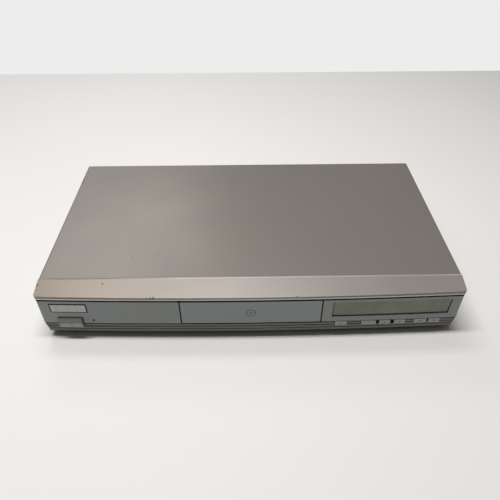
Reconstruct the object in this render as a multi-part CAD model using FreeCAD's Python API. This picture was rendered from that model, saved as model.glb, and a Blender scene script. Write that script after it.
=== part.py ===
import FreeCAD, Part
import math
import os

from FreeCAD import Vector

# Disc player with a motorised tray. All sizes in millimetres.
# Design axes: X to the right, Y towards the back from the plane of the front corners,
# Z up from the surface that the feet stand on. The export centres the box in Y.

# Overall sizes
BODY_WIDTH = 430.0
BODY_HEIGHT = 65.0
COVER_REAR = 238.3
FRONT_BOW = 4.5
PANEL_BOTTOM = 7.0
FOOT_HEIGHT = 8.0
HALF_WIDTH = BODY_WIDTH / 2
BOW_RADIUS = (HALF_WIDTH ** 2 + FRONT_BOW ** 2) / (2 * FRONT_BOW)

# Sheet metal
COVER_WALL = 0.8
COVER_BEND = 1.8
PAN_WALL = 1.0
REAR_WALL = 0.9
SHEET_GAP = 0.2
SIDE_SEAM = 11.2
PAN_FRONT = 15.0
PAN_FLANGE = 15.0
REAR_FOLD = 9.0

# Front panel
PANEL_WALL = 2.5
STRIP_REAR = 20.4
STRIP_SLOPE = 0.21
STRIP_WALL = 2.4
CORNER_RADIUS = 2.4
PANEL_SIDE_REAR = 11.0
RIDGE_HALF = HALF_WIDTH - 15.5
RIDGE_WIDTH = 0.9
FACE_SET_BACK = 0.5
# Drops are measured down from the top of the case, rises up from the panel's bottom
LIP_DROP = 5.8
BEAD_TOP_DROP = 6.4
BEAD_UNDER_DROP = 9.6
FACE_TOP_DROP = 10.9
FACE_RISE = 14.6
RIB_SET_BACKS = (0.8, 1.4, 2.0)
RIB_SIDE_INSETS = (0.5, 1.0, 1.6)
RIB_TOP_RISES = (13.8, 9.2, 4.5)
RIB_UNDER_RISES = (10.0, 5.3, 0.0)
GROOVE_DEPTH = 0.9
RIB_ROUND = 0.8
BEAD_ROUND = 1.2
BOTTOM_ROUND = 1.2

# Tray door and its opening
DOOR_WIDTH = 142.7
DOOR_DROP = 11.2
DOOR_RISE = 15.1
DOOR_GAP = 1.2
DOOR_WALL = 2.4
DOOR_TOP_GAP = 0.8

# Display window
WINDOW_LEFT = DOOR_WIDTH / 2 + 11.35
WINDOW_RIGHT = HALF_WIDTH - 11.5
WINDOW_DROP = 15.0
WINDOW_RISE = 22.3
WINDOW_GAP = 1.0
WINDOW_TILT = 0.9
WINDOW_LIP = 1.2
WINDOW_FLANGE = 1.5

# Badge plate, lamp and power button
BADGE_LEFT = -HALF_WIDTH + 12.0
BADGE_RIGHT = BADGE_LEFT + 37.5
BADGE_TOP_DROP = 15.0
BADGE_UNDER_DROP = 27.0
BADGE_PROUD = 0.35
LED_X = -HALF_WIDTH + 53.0
LED_RISE = 19.5
LED_RADIUS = 1.3
BUTTON_LEFT = -HALF_WIDTH + 17.4
BUTTON_RIGHT = BUTTON_LEFT + 24.2
BUTTON_TOP_RISE = 23.0
BUTTON_UNDER_RISE = 10.5
BUTTON_CREASE_RISE = 17.0
BUTTON_PROUD = 2.5
BUTTON_DEPTH = 10.0
BUTTON_GAP = 0.8
BUTTON_TRAVEL = 3.0

# Keys under the window: name, then centre and width as shares of the window.
# A screw boss and two board posts stand between them, placed by shares too.
KEY_PLACES = (
    ("key_eject", 0.08775, 0.10099),
    ("key_play", 0.32740, 0.12831),
    ("key_pause", 0.46813, 0.09685),
    ("key_stop", 0.59851, 0.09437),
    ("key_previous", 0.77608, 0.11010),
    ("key_next", 0.89818, 0.09768),
)
BOSS_SHARE = 0.20116
POST_SHARES = (0.19288, 0.68129)
KEY_SLOTS = (("key_eject", "key_eject"), ("key_play", "key_stop"),
             ("key_previous", "key_next"))
KEY_TOP_RISE = 15.0
KEY_UNDER_RISE = 8.9
KEY_SET_BACK = 0.15
KEY_GAP = 0.4
KEY_TRAVEL = 0.5
KEY_FLANGE = 1.5
KEY_WING = 0.8
DISPLAY_LEG_STEP = 4.0

# Feet and floor mouldings
FOOT_RADIUS = 15.0
FOOT_X = HALF_WIDTH - 43.0
FOOT_FRONT = 48.0
FOOT_REAR = 205.0
FOOT_PAD_DEPTH = 1.0
FOOT_STUD = 3.0
VENT_STEP = 7.5
VENT_HALF = 1.25
REAR_VENT_STEP = 6.0
REAR_VENT_LEFT = -140.0
REAR_VENT_LOW = 24.0
REAR_VENT_DROP = 17.0

# Screws and the places they hold
SCREW_RADIUS = 1.5
SCREW_GAP = 0.05
SCREW_HEAD_RADIUS = 3.0
SCREW_HEAD = 1.6
COVER_SCREW_HEAD = 1.0
COVER_SCREW_LENGTH = 6.0
PANEL_SCREW_LENGTH = 6.0
BOARD_SCREW_LENGTH = 6.0
LUG_WALL = 3.0
PILLAR_RADIUS = 2.4
PANEL_BOSS_SIDE = HALF_WIDTH - 11.0
PANEL_BOSS_X = (-PANEL_BOSS_SIDE, -92.0,
                WINDOW_LEFT + BOSS_SHARE * (WINDOW_RIGHT - WINDOW_LEFT), PANEL_BOSS_SIDE)
PANEL_BOSS_Z = FOOT_HEIGHT + PAN_WALL + SCREW_HEAD_RADIUS + 0.2
POST_RISE = 18.4
POST_DROP = 10.5
COVER_SIDE_SCREWS = (62.0, 190.0)
COVER_SIDE_Z = FOOT_HEIGHT + 9.0
COVER_BOTTOM = FOOT_HEIGHT + 0.5
COVER_REAR_SIDE = HALF_WIDTH - 25.0
COVER_REAR_SCREWS = (-COVER_REAR_SIDE, 0.0, COVER_REAR_SIDE)
COVER_REAR_DROP = 5.5
REAR_FOOT_SCREWS = (-100.0, 80.0)
REAR_FOOT_Z = FOOT_HEIGHT + 4.6
REAR_FLANGE = 8.2

# Circuit boards
BOARD_WALL = 1.6
BOARD_BOTTOM = FOOT_HEIGHT + 7.0
FRONT_BOARD_Y = 12.0
FRONT_BOARD_LEFT = DOOR_WIDTH / 2 + 8.65
FRONT_BOARD_RIGHT = HALF_WIDTH - 9.0
FRONT_BOARD_RISE = 8.2
FRONT_BOARD_DROP = 7.0
SWITCH_HEIGHT = 4.3
LUG_REACH = 79.0
POWER_OUTER = HALF_WIDTH - 10.0
POWER_INNER = LUG_REACH + 12.0
POWER_FRONT = 62.0
POWER_REAR = 222.0
MAIN_OUTER = HALF_WIDTH - 9.0
MAIN_INNER = LUG_REACH + 7.0
MAIN_FRONT = 72.0
MAIN_REAR = 231.0
CABLE_Y = 202.0
RIBBON_X = (FRONT_BOARD_LEFT + FRONT_BOARD_RIGHT) / 2 - 8.0
RIBBON_WIDTH = 20.0
CABLE_PLUG = 8.0
RIBBON_REAR = 84.0
RIBBON_LEVEL = 37.0
RIBBON_WALL = 0.3
RIBBON_PLUG_HALF = 13.0
RIBBON_PLUG_DEPTH = 5.0
PICKUP_PLUG_FRONT = 100.0
PICKUP_PLUG_LENGTH = 22.0
ROD_SHANK = 2.5

# Parts on the boards
MAINS_SWITCH_FRONT = 66.0
MAINS_SWITCH_LENGTH = 22.0
MAINS_SWITCH_HALF = 8.0
CORE_HALF = 14.0
CORE_HEIGHT = 24.0
CORE_WALL = 5.0
WINDING_HALF = 15.5
BOBBIN_BASE = 3.0
SINK_LENGTH = 34.0
SINK_HEIGHT = 28.0
SINK_WALL = 2.5
SINK_FINS = 6
FIN_STEP = 6.4
FIN_WALL = 2.0
FIN_REACH = 9.0
FUSE_HALF = 10.0
FUSE_CAP = 5.0
FUSE_RADIUS = 2.4

# Disc and tray
DISC_RADIUS = 60.0
DISC_WALL = 1.2
DISC_Y = 72.0
TRAY_HALF = 68.4
TRAY_FRONT = 1.6
TRAY_REAR = 162.0
TRAY_RIM = 47.0
TRAY_FLOOR = 43.2
TRAY_INNER_FLOOR = 42.0
TRAY_UNDER = 40.4
TRAY_EDGE_UNDER = 38.0
TRAY_RECESS = DISC_RADIUS + 1.0
TRAY_INNER_RECESS = 41.0
TRAY_SLOT_HALF = 20.0
TRAY_SLOT_REAR = 150.0
TRAY_SKIRT = 4.4
TRAY_TRAVEL = 137.0

# Loader frame
LOADER_HALF = 71.6
LOADER_WALL = 2.4
LOADER_FRONT = 3.0
LOADER_REAR = 182.0
LOADER_FLOOR = 12.0
LOADER_SHEET = 2.0
LOADER_TOP = 52.6
LOADER_OPENING_HALF = 63.0
LOADER_OPENING_FRONT = 49.0
LOADER_OPENING_REAR = 176.0
LUG_Y = (30.0, 165.0)
LEDGE_WIDTH = 4.0
LEDGE_WALL = 2.2
LEDGE_GAP = 0.3
BRIDGE_WALL = 1.0
BRIDGE_FRONT = 52.0
BRIDGE_REAR = 92.0
HOOK_WALL = 0.9
HOOK_DROP = 9.0
HOOK_INSET = 8.0

# Clamper puck
CLAMPER_RADIUS = 15.0
CLAMPER_BOTTOM = 48.3
CLAMPER_NECK = 9.0
CLAMPER_BRIM = 12.0

# Gears of the tray drive
PRESSURE_ANGLE = math.radians(20)
GEAR_BACKLASH = 0.3
RACK_MODULE = 1.0
RACK_GEAR_TEETH = 16
TRAIN_MODULE = 0.8
DRIVE_TEETH = 40
PULLEY_TEETH = 12
DRIVE_X = -47.0
DRIVE_Y = 20.5
WHEEL_RADIUS = 10.0
MOTOR_PULLEY_RADIUS = 3.5
MOTOR_X = 14.0
MOTOR_RADIUS = 11.0
MOTOR_HEIGHT = 14.0
MOTOR_SHAFT = 1.0
BELT_LEVEL = 32.5
BELT_SIZE = 1.2
BELT_GAP = 0.1
PULLEY_FLANGE = 0.7
PULLEY_HALF = 1.8
RACK_LOW = 31.2
RACK_HIGH = 37.6
RACK_START = 12.0
RACK_END = RACK_START + TRAY_TRAVEL + 9.0
TRAIN_LOW = 20.5
TRAIN_HIGH = 25.0
ADDENDUM = 0.8
DEDENDUM = 1.15
AXLE_RADIUS = 1.5
BORE_GAP = 0.05

# Swinging deck, drawn level and then lowered about its hinge
HINGE_Y = 170.0
HINGE_Z = 30.0
HINGE_PIN = 2.5
DECK_DROP = 5.3
DECK_HALF = 58.0
DECK_FRONT = 52.0
DECK_REAR = 167.0
DECK_TOP = 28.4
DECK_SHEET = 2.0
DECK_RIM = 23.5
TURNTABLE_SEAT = 46.6
TURNTABLE_RADIUS = 15.5
HUB_RADIUS = 7.3
HUB_TOP = 48.8
SPINDLE_RADIUS = 13.0
SPINDLE_TOP = 41.0
ROD_X = 28.0
ROD_Z = 35.0
ROD_RADIUS = 1.5
ROD_FRONT = 81.0
ROD_REAR = 159.0
ROD_POST = 4.0
DECK_OPENING_HALF = 21.0
DECK_OPENING_FRONT = 90.0
DECK_OPENING_REAR = 152.0
SLED_HALF = 31.0
SLED_WAIST = 20.5
SLED_FRONT = 87.5
SLED_REAR = 120.0
SLED_TRAVEL = 33.0
SLED_BOTTOM = 31.8
SLED_TOP = 39.6
LENS_Y = DISC_Y + 24.5
LENS_TOP = 45.0
LENS_TRAVEL = 0.6
LENS_HALF_X = 11.0
LENS_HALF_Y = 6.5
LENS_DOME = 9.0
SLED_MODULE = 0.5
SLED_SMALL_TEETH = 16
SLED_BIG_TEETH = 40
SLED_MOTOR_TEETH = 12
SLED_GEAR_X = 40.5
SLED_GEAR_Y = 106.0
SLED_MOTOR_TURN = 60.0
SLED_MOTOR_RADIUS = 7.5
SLED_GEAR_LOW = 29.6
SLED_GEAR_HIGH = 31.4
SLED_RACK_LOW = 33.0
SLED_RACK_HIGH = 37.0
SLED_RACK_FRONT = 70.0
SLED_RACK_REAR = SLED_RACK_FRONT + SLED_TRAVEL + 7.0
CAM_TRAVEL = 14.0
CAM_Y = 45.0
CAM_WALL = 2.0
CAM_PIN_X = (-30.0, 30.0)
CAM_PIN_RADIUS = 1.6
CAM_SLOT_GAP = 0.3
CAM_PIN_Z = 30.5
CAM_LOW = 14.3
CAM_HIGH = 34.5
CAM_LEFT = -52.0
CAM_RIGHT = 40.0

# Sockets at the back
PLUG_RADIUS = 4.15
PLUG_REACH = 9.0
JACK_HALF = 6.5
PLUG_COLUMNS = (HALF_WIDTH - 20.0, HALF_WIDTH - 34.0, HALF_WIDTH - 48.0)
SOCKET_Z = BOARD_BOTTOM + 12.0
PLUG_ROWS = (SOCKET_Z, SOCKET_Z + 16.0)
S_VIDEO_X = HALF_WIDTH - 68.0
OPTICAL_X = HALF_WIDTH - 90.0
COAX_X = HALF_WIDTH - 111.0
PLUG_HOLE = 4.3
PLUG_PIN_HOLE = 1.7
S_VIDEO_RADIUS = 6.0
INLET_X = -HALF_WIDTH + 47.0
INLET_Z = BOARD_BOTTOM + 11.0
INLET_HALF = 12.0
INLET_TALL = 8.0
INLET_DEPTH = 22.0
INLET_WELL = 14.0
INLET_ROUND = 5.0
INLET_ROUND_X = 3.6
INLET_WAIST = 4.3
INLET_PIN = 1.15

# Centre of the box in Y
FRONT_REACH = -FRONT_BOW
REAR_REACH = COVER_REAR + PLUG_REACH - 1.0
MIDDLE_Y = (FRONT_REACH + REAR_REACH) / 2


# Basic solids

def box(x0, x1, y0, y1, z0, z1):
    return Part.makeBox(x1 - x0, y1 - y0, z1 - z0, Vector(x0, y0, z0))


def post(x, y, z0, z1, radius):
    return Part.makeCylinder(radius, z1 - z0, Vector(x, y, z0))


def bar_y(x, z, y0, y1, radius):
    return Part.makeCylinder(radius, y1 - y0, Vector(x, y0, z), Vector(0, 1, 0))


def bar_x(y, z, x0, x1, radius):
    return Part.makeCylinder(radius, x1 - x0, Vector(x0, y, z), Vector(1, 0, 0))


def ring(x, y, z0, z1, outer, inner):
    return post(x, y, z0, z1, outer).cut(post(x, y, z0 - 1, z1 + 1, inner))


def cone(x, y, z0, z1, low_radius, high_radius):
    return Part.makeCone(low_radius, high_radius, z1 - z0, Vector(x, y, z0))


def face_of(points):
    return Part.Face(Part.makePolygon(points + [points[0]]))


def prism_x(points, x0, x1):
    """Outline in Y and Z, drawn out along X."""
    face = face_of([Vector(x0, y, z) for y, z in points])
    return face.extrude(Vector(x1 - x0, 0, 0))


def prism_y(points, y0, y1):
    """Outline in X and Z, drawn out along Y."""
    face = face_of([Vector(x, y0, z) for x, z in points])
    return face.extrude(Vector(0, y1 - y0, 0))


def prism_z(points, z0, z1):
    """Outline in X and Y, drawn out along Z."""
    face = face_of([Vector(x, y, z0) for x, y in points])
    return face.extrude(Vector(0, 0, z1 - z0))


def join(*solids):
    whole = solids[0].fuse(list(solids[1:])) if len(solids) > 1 else solids[0]
    return whole.removeSplitter()


def below_top(drop):
    return BODY_HEIGHT - drop


def above_bottom(rise):
    return PANEL_BOTTOM + rise


def under_window(share):
    """X at a share of the window's width, from its left edge."""
    return WINDOW_LEFT + share * (WINDOW_RIGHT - WINDOW_LEFT)


def keys():
    """Name, left edge and right edge of each key."""
    return [(name, under_window(share - breadth / 2), under_window(share + breadth / 2))
            for name, share, breadth in KEY_PLACES]


def front_board_posts():
    low, high = above_bottom(POST_RISE), below_top(POST_DROP)
    posts = [(under_window(share), low) for share in POST_SHARES]
    return posts + [(FRONT_BOARD_LEFT + 15.0, high), (FRONT_BOARD_RIGHT - 16.0, high)]


def edges_where(shape, test):
    """Edges whose middle point passes the test."""
    chosen = []
    for edge in shape.Edges:
        first, last = edge.ParameterRange
        if test(edge.valueAt((first + last) / 2)):
            chosen.append(edge)
    return chosen


# The bowed front

def bow_y(x):
    return BOW_RADIUS - FRONT_BOW - math.sqrt(BOW_RADIUS ** 2 - x ** 2)


def bow_arc(x0, x1, set_back, z):
    middle = (x0 + x1) / 2
    points = [Vector(x, bow_y(x) + set_back, z) for x in (x0, middle, x1)]
    return Part.Arc(*points).toShape()


def bowed_slab(x0, x1, near, far, z0, z1, lean=0.0):
    """Slab between two set-backs from the bowed front; lean moves its top in Y."""
    left = Part.makeLine(Vector(x0, bow_y(x0) + near, z0), Vector(x0, bow_y(x0) + far, z0))
    right = Part.makeLine(Vector(x1, bow_y(x1) + near, z0), Vector(x1, bow_y(x1) + far, z0))
    wire = Part.Wire([bow_arc(x0, x1, near, z0), right, bow_arc(x0, x1, far, z0), left])
    return Part.Face(wire).extrude(Vector(0, lean, z1 - z0))


def panel_layer(z0, z1, set_back, side_inset, rear, rounding=0.0, low_only=False):
    """One layer of the bezel, with the bowed front and rounded corners."""
    half = HALF_WIDTH - side_inset
    front_y = bow_y(half) + set_back
    right = Part.makeLine(Vector(half, front_y, z0), Vector(half, rear, z0))
    back = Part.makeLine(Vector(half, rear, z0), Vector(-half, rear, z0))
    left = Part.makeLine(Vector(-half, rear, z0), Vector(-half, front_y, z0))
    wire = Part.Wire([bow_arc(-half, half, set_back, z0), right, back, left])
    layer = Part.Face(wire).extrude(Vector(0, 0, z1 - z0))
    corners = edges_where(layer, lambda p: abs(p.x) > half - 0.01 and p.y < front_y + 0.01)
    layer = layer.makeFillet(CORNER_RADIUS, corners)
    if rounding:
        def on_rim(p):
            level = abs(p.z - z0) < 0.01 or (abs(p.z - z1) < 0.01 and not low_only)
            return level and p.y < rear - 0.01
        layer = layer.makeFillet(rounding, edges_where(layer, on_rim))
    return layer


def strip_height(y):
    return BODY_HEIGHT - STRIP_SLOPE * (STRIP_REAR - y)


def window_hole():
    return box(WINDOW_LEFT, WINDOW_RIGHT, -20, PANEL_SIDE_REAR,
               above_bottom(WINDOW_RISE), below_top(WINDOW_DROP))


def button_hole():
    return box(BUTTON_LEFT - BUTTON_GAP, BUTTON_RIGHT + BUTTON_GAP, -20, PANEL_SIDE_REAR,
               above_bottom(BUTTON_UNDER_RISE) - BUTTON_GAP, above_bottom(BUTTON_TOP_RISE) + BUTTON_GAP)


def front_panel():
    """Bezel: sloped strip, lip, bead, face and three ribs, hollow behind."""
    top_z = below_top(LIP_DROP)
    lip = panel_layer(top_z, BODY_HEIGHT, 0.0, 0.0, STRIP_REAR)
    above = prism_x([(-20, strip_height(-20)), (STRIP_REAR, BODY_HEIGHT), (STRIP_REAR, 80),
                     (-20, 80)], -HALF_WIDTH - 5, HALF_WIDTH + 5)
    lip = lip.cut(above)
    inner_groove = FACE_SET_BACK + GROOVE_DEPTH
    layers = [
        lip,
        panel_layer(below_top(BEAD_TOP_DROP), top_z, inner_groove, GROOVE_DEPTH, PANEL_SIDE_REAR),
        panel_layer(below_top(BEAD_UNDER_DROP), below_top(BEAD_TOP_DROP), 0.0, 0.0, PANEL_SIDE_REAR,
                    BEAD_ROUND),
        panel_layer(below_top(FACE_TOP_DROP), below_top(BEAD_UNDER_DROP), 2 * GROOVE_DEPTH,
                    GROOVE_DEPTH, PANEL_SIDE_REAR),
        panel_layer(above_bottom(FACE_RISE), below_top(FACE_TOP_DROP), FACE_SET_BACK,
                    FACE_SET_BACK / 2, PANEL_SIDE_REAR),
    ]
    upper_z = above_bottom(FACE_RISE)
    for index, set_back in enumerate(RIB_SET_BACKS):
        side = RIB_SIDE_INSETS[index]
        rib_top = above_bottom(RIB_TOP_RISES[index])
        rib_under = above_bottom(RIB_UNDER_RISES[index])
        is_last = index == len(RIB_SET_BACKS) - 1
        layers.append(panel_layer(rib_top, upper_z, set_back + GROOVE_DEPTH,
                                  side + GROOVE_DEPTH, PANEL_SIDE_REAR))
        rounding = BOTTOM_ROUND if is_last else RIB_ROUND
        layers.append(panel_layer(rib_under, rib_top, set_back, side, PANEL_SIDE_REAR,
                                  rounding, is_last))
        upper_z = rib_under
    panel = layers[0].fuse(layers[1:])
    panel = panel.cut(panel_cavity())
    door_half = DOOR_WIDTH / 2 + DOOR_GAP
    holes = [
        box(-door_half, door_half, -20, PANEL_SIDE_REAR, above_bottom(FACE_RISE),
            below_top(DOOR_DROP) + DOOR_TOP_GAP),
        window_hole(),
        button_hole(),
        bar_y(LED_X, above_bottom(LED_RISE), -20, PANEL_SIDE_REAR, LED_RADIUS + 0.15),
    ]
    left_edges = {name: left for name, left, _ in keys()}
    right_edges = {name: right for name, _, right in keys()}
    for first, last in KEY_SLOTS:
        holes.append(box(left_edges[first] - KEY_GAP, right_edges[last] + KEY_GAP, -20,
                         PANEL_SIDE_REAR, above_bottom(KEY_UNDER_RISE) - KEY_GAP,
                         above_bottom(KEY_TOP_RISE) + KEY_GAP))
    panel = panel.cut(holes)
    ridge = prism_x([(STRIP_REAR - RIDGE_WIDTH, strip_height(STRIP_REAR - RIDGE_WIDTH) - 0.3),
                     (STRIP_REAR - RIDGE_WIDTH, BODY_HEIGHT), (STRIP_REAR, BODY_HEIGHT),
                     (STRIP_REAR, BODY_HEIGHT - 0.5)], -RIDGE_HALF, RIDGE_HALF)
    side = HALF_WIDTH - RIB_SIDE_INSETS[-1] - BOTTOM_ROUND
    floor = box(-side, side, lower_wall(), PAN_FRONT - SHEET_GAP, PANEL_BOTTOM,
                PANEL_BOTTOM + PANEL_WALL - 0.5)
    return join(panel, ridge, floor, *panel_bosses())


def lower_wall():
    return RIB_SET_BACKS[-1] + PANEL_WALL


def upper_wall():
    return FACE_SET_BACK + GROOVE_DEPTH + PANEL_WALL - 0.6


def panel_cavity():
    """Space behind the face and ribs, under the sloped strip."""
    side = HALF_WIDTH - RIB_SIDE_INSETS[-1] - PANEL_WALL
    upper_side = HALF_WIDTH - PANEL_WALL
    split = above_bottom(FACE_RISE) - 0.5
    ceiling = BODY_HEIGHT - STRIP_WALL
    upper = bowed_slab(-upper_side, upper_side, upper_wall(), STRIP_REAR + 20, split, 80)
    lower = bowed_slab(-side, side, lower_wall(), STRIP_REAR + 20,
                       PANEL_BOTTOM + PANEL_WALL - 0.5, split)
    under_strip = prism_x([(-20, 0), (STRIP_REAR + 1, 0),
                           (STRIP_REAR + 1, strip_height(STRIP_REAR + 1) - STRIP_WALL),
                           (-20, strip_height(-20) - STRIP_WALL)],
                          -HALF_WIDTH - 5, HALF_WIDTH + 5)
    side_relief = under_strip.common(box(-HALF_WIDTH - 5, HALF_WIDTH + 5, PANEL_SIDE_REAR,
                                         STRIP_REAR + 1, 0, ceiling + 5))
    return upper.fuse(lower).common(under_strip).fuse(side_relief)


def panel_bosses():
    """Screw bosses for the base pan's front flange and for the front board."""
    bosses = []
    for x in PANEL_BOSS_X:
        block = box(x - 4, x + 4, bow_y(x) + lower_wall() - 0.5, PAN_FRONT,
                    PANEL_BOTTOM + PANEL_WALL - 0.6, PANEL_BOSS_Z + 2.7)
        hole = bar_y(x, PANEL_BOSS_Z, PAN_FRONT - PANEL_SCREW_LENGTH, PAN_FRONT + 1,
                     SCREW_RADIUS + SCREW_GAP)
        bosses.append(block.cut(hole))
    for x, z in front_board_posts():
        pillar = bar_y(x, z, bow_y(x) + upper_wall() - 0.5, FRONT_BOARD_Y, PILLAR_RADIUS)
        hole = bar_y(x, z, FRONT_BOARD_Y - BOARD_SCREW_LENGTH + BOARD_WALL,
                     FRONT_BOARD_Y + 1, SCREW_RADIUS + SCREW_GAP)
        bosses.append(pillar.cut(hole))
    return bosses


def display_window():
    """Tinted pane, its face leaning back towards the bottom, with a lip behind the bezel."""
    low = above_bottom(WINDOW_RISE)
    high = below_top(WINDOW_DROP)
    pane = bowed_slab(WINDOW_LEFT + WINDOW_GAP, WINDOW_RIGHT - WINDOW_GAP,
                      FACE_SET_BACK + 0.1 + WINDOW_TILT, upper_wall() + 0.5,
                      low + WINDOW_GAP, high - 0.1, -WINDOW_TILT)
    flange = bowed_slab(WINDOW_LEFT - WINDOW_LIP, WINDOW_RIGHT + WINDOW_LIP,
                        upper_wall() + 0.1, upper_wall() + 0.1 + WINDOW_FLANGE,
                        low - WINDOW_LIP, high + WINDOW_LIP)
    return join(pane, flange)


def name_badge():
    """Blank plate stuck on the face."""
    return bowed_slab(BADGE_LEFT, BADGE_RIGHT, FACE_SET_BACK - BADGE_PROUD,
                      FACE_SET_BACK - 0.02, below_top(BADGE_UNDER_DROP), below_top(BADGE_TOP_DROP))


def power_led():
    """Lamp in its hole beside the power button."""
    z = above_bottom(LED_RISE)
    start = bow_y(LED_X) + FACE_SET_BACK
    body = bar_y(LED_X, z, start, start + 6, LED_RADIUS)
    rim = bar_y(LED_X, z, bow_y(LED_X) + upper_wall() + 0.3, start + 4.5, LED_RADIUS + 0.8)
    return join(body, rim)


def button_centre():
    return (BUTTON_LEFT + BUTTON_RIGHT) / 2


def button_level():
    return (above_bottom(BUTTON_TOP_RISE) + above_bottom(BUTTON_UNDER_RISE)) / 2


def power_button():
    """Long cap with a crease at mid height, a flange behind the bezel and a socket."""
    top = above_bottom(BUTTON_TOP_RISE)
    under = above_bottom(BUTTON_UNDER_RISE)
    crease = above_bottom(BUTTON_CREASE_RISE)
    front = bow_y(BUTTON_LEFT) - BUTTON_PROUD
    lean = bow_y(BUTTON_RIGHT) - bow_y(BUTTON_LEFT)
    back = bow_y(BUTTON_LEFT) + lower_wall() + 1
    outline = [(front + 0.9, top - 0.5), (front + 1.6, top), (back, top), (back, under),
               (front + 1.4, under), (front + 0.5, under + 0.5), (front, crease)]
    face = face_of([Vector(BUTTON_LEFT, y, z) for y, z in outline])
    cap = face.extrude(Vector(BUTTON_RIGHT - BUTTON_LEFT, lean, 0))
    flange = bowed_slab(BUTTON_LEFT - 2.2, BUTTON_RIGHT + 2.2, lower_wall() + 0.3,
                        lower_wall() + 2.0, under - 2, top + 2)
    boss = bar_y(button_centre(), button_level(), back - 3, BUTTON_DEPTH, 4.6)
    notch = bar_y(button_centre(), button_level(), BUTTON_DEPTH - 5, BUTTON_DEPTH + 1,
                  ROD_SHANK + BORE_GAP)
    return join(cap, flange, boss).cut(notch)


def switch_rod():
    """Long rod that carries the push back to the mains switch."""
    x, z = button_centre(), button_level()
    rod = bar_y(x, z, BUTTON_DEPTH - 4.8, MAINS_SWITCH_FRONT + 4, ROD_SHANK)
    collar = bar_y(x, z, BUTTON_DEPTH + 0.1, BUTTON_DEPTH + 2.1, ROD_SHANK + 1.5)
    return join(rod, collar)


def key(left, right):
    """Key cap with a flange behind the ribs and a stem to its switch."""
    low, high = above_bottom(KEY_UNDER_RISE), above_bottom(KEY_TOP_RISE)
    cap = bowed_slab(left, right, KEY_SET_BACK, lower_wall() + KEY_FLANGE, low, high)
    front_rim = edges_where(cap, lambda p: p.y < bow_y(p.x) + KEY_SET_BACK + 0.01
                            and (abs(p.z - low) < 0.01 or abs(p.z - high) < 0.01))
    cap = cap.makeFillet(0.5, front_rim)
    flange = bowed_slab(left - KEY_WING, right + KEY_WING,
                        lower_wall() + 0.3, lower_wall() + 0.3 + KEY_FLANGE,
                        low - KEY_FLANGE, high + KEY_FLANGE)
    stem = bar_y((left + right) / 2, (low + high) / 2,
                 bow_y(left) + lower_wall() + 0.5, switch_tip() - KEY_TRAVEL - 0.1, 2.0)
    return join(cap, flange, stem)


def switch_tip():
    return FRONT_BOARD_Y - SWITCH_HEIGHT


def key_level():
    return (above_bottom(KEY_UNDER_RISE) + above_bottom(KEY_TOP_RISE)) / 2


def key_switches():
    """One push switch on the front board behind each key."""
    switches = []
    for _, left, right in keys():
        x, z = (left + right) / 2, key_level()
        body = box(x - 3, x + 3, FRONT_BOARD_Y - 3.4, FRONT_BOARD_Y, z - 3, z + 3)
        plunger = bar_y(x, z, switch_tip(), FRONT_BOARD_Y - 3, 1.7)
        switches.append(join(body, plunger))
    return Part.makeCompound(switches)


def front_board():
    """Upright board behind the keys and the display."""
    board = box(FRONT_BOARD_LEFT, FRONT_BOARD_RIGHT, FRONT_BOARD_Y,
                FRONT_BOARD_Y + BOARD_WALL, above_bottom(FRONT_BOARD_RISE),
                below_top(FRONT_BOARD_DROP))
    for x, z in front_board_posts():
        board = board.cut(bar_y(x, z, 0, 30, SCREW_RADIUS + SCREW_GAP))
    far = FRONT_BOARD_Y + BOARD_WALL
    socket = box(RIBBON_X - RIBBON_PLUG_HALF, RIBBON_X + RIBBON_PLUG_HALF, far,
                 far + RIBBON_PLUG_DEPTH, RIBBON_LEVEL - 3, RIBBON_LEVEL + 3)
    slot = box(RIBBON_X - RIBBON_WIDTH / 2 - 0.2, RIBBON_X + RIBBON_WIDTH / 2 + 0.2,
               far + 1, far + RIBBON_PLUG_DEPTH + 1, RIBBON_LEVEL - 0.4, RIBBON_LEVEL + 0.4)
    driver = box(RIBBON_X + 15, RIBBON_X + 27, far, far + 2.2, 30, 42)
    return join(board, socket.cut(slot), driver)


def display_module():
    """Flat glass display on its legs in front of the board."""
    low, high = above_bottom(WINDOW_RISE) + 1.7, below_top(WINDOW_DROP) - 1.0
    left, right = WINDOW_LEFT + 10.3, WINDOW_RIGHT - 10.5
    glass = box(left, right, FRONT_BOARD_Y - 6.5, FRONT_BOARD_Y - 1.5, low, high)
    tip = bar_x(FRONT_BOARD_Y - 4, (low + high) / 2, right, right + 3, 1.6)
    count = int((right - left - 8) / DISPLAY_LEG_STEP) + 1
    legs = [box(x, x + 1, FRONT_BOARD_Y - 3, FRONT_BOARD_Y, low - 1.2, low + 0.4)
            for x in [left + 4 + k * DISPLAY_LEG_STEP for k in range(count)]]
    return join(glass, tip, *legs)


def remote_sensor():
    """Infra-red receiver beside the display."""
    x = WINDOW_LEFT + 4.3
    z = (above_bottom(WINDOW_RISE) + below_top(WINDOW_DROP)) / 2 + 1.85
    body = box(x - 3, x + 3, FRONT_BOARD_Y - 4, FRONT_BOARD_Y, z - 3.5, z + 3.5)
    dome = Part.makeSphere(2.2, Vector(x, FRONT_BOARD_Y - 4, z))
    return join(body, dome)


# Sheet metal shell

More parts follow.
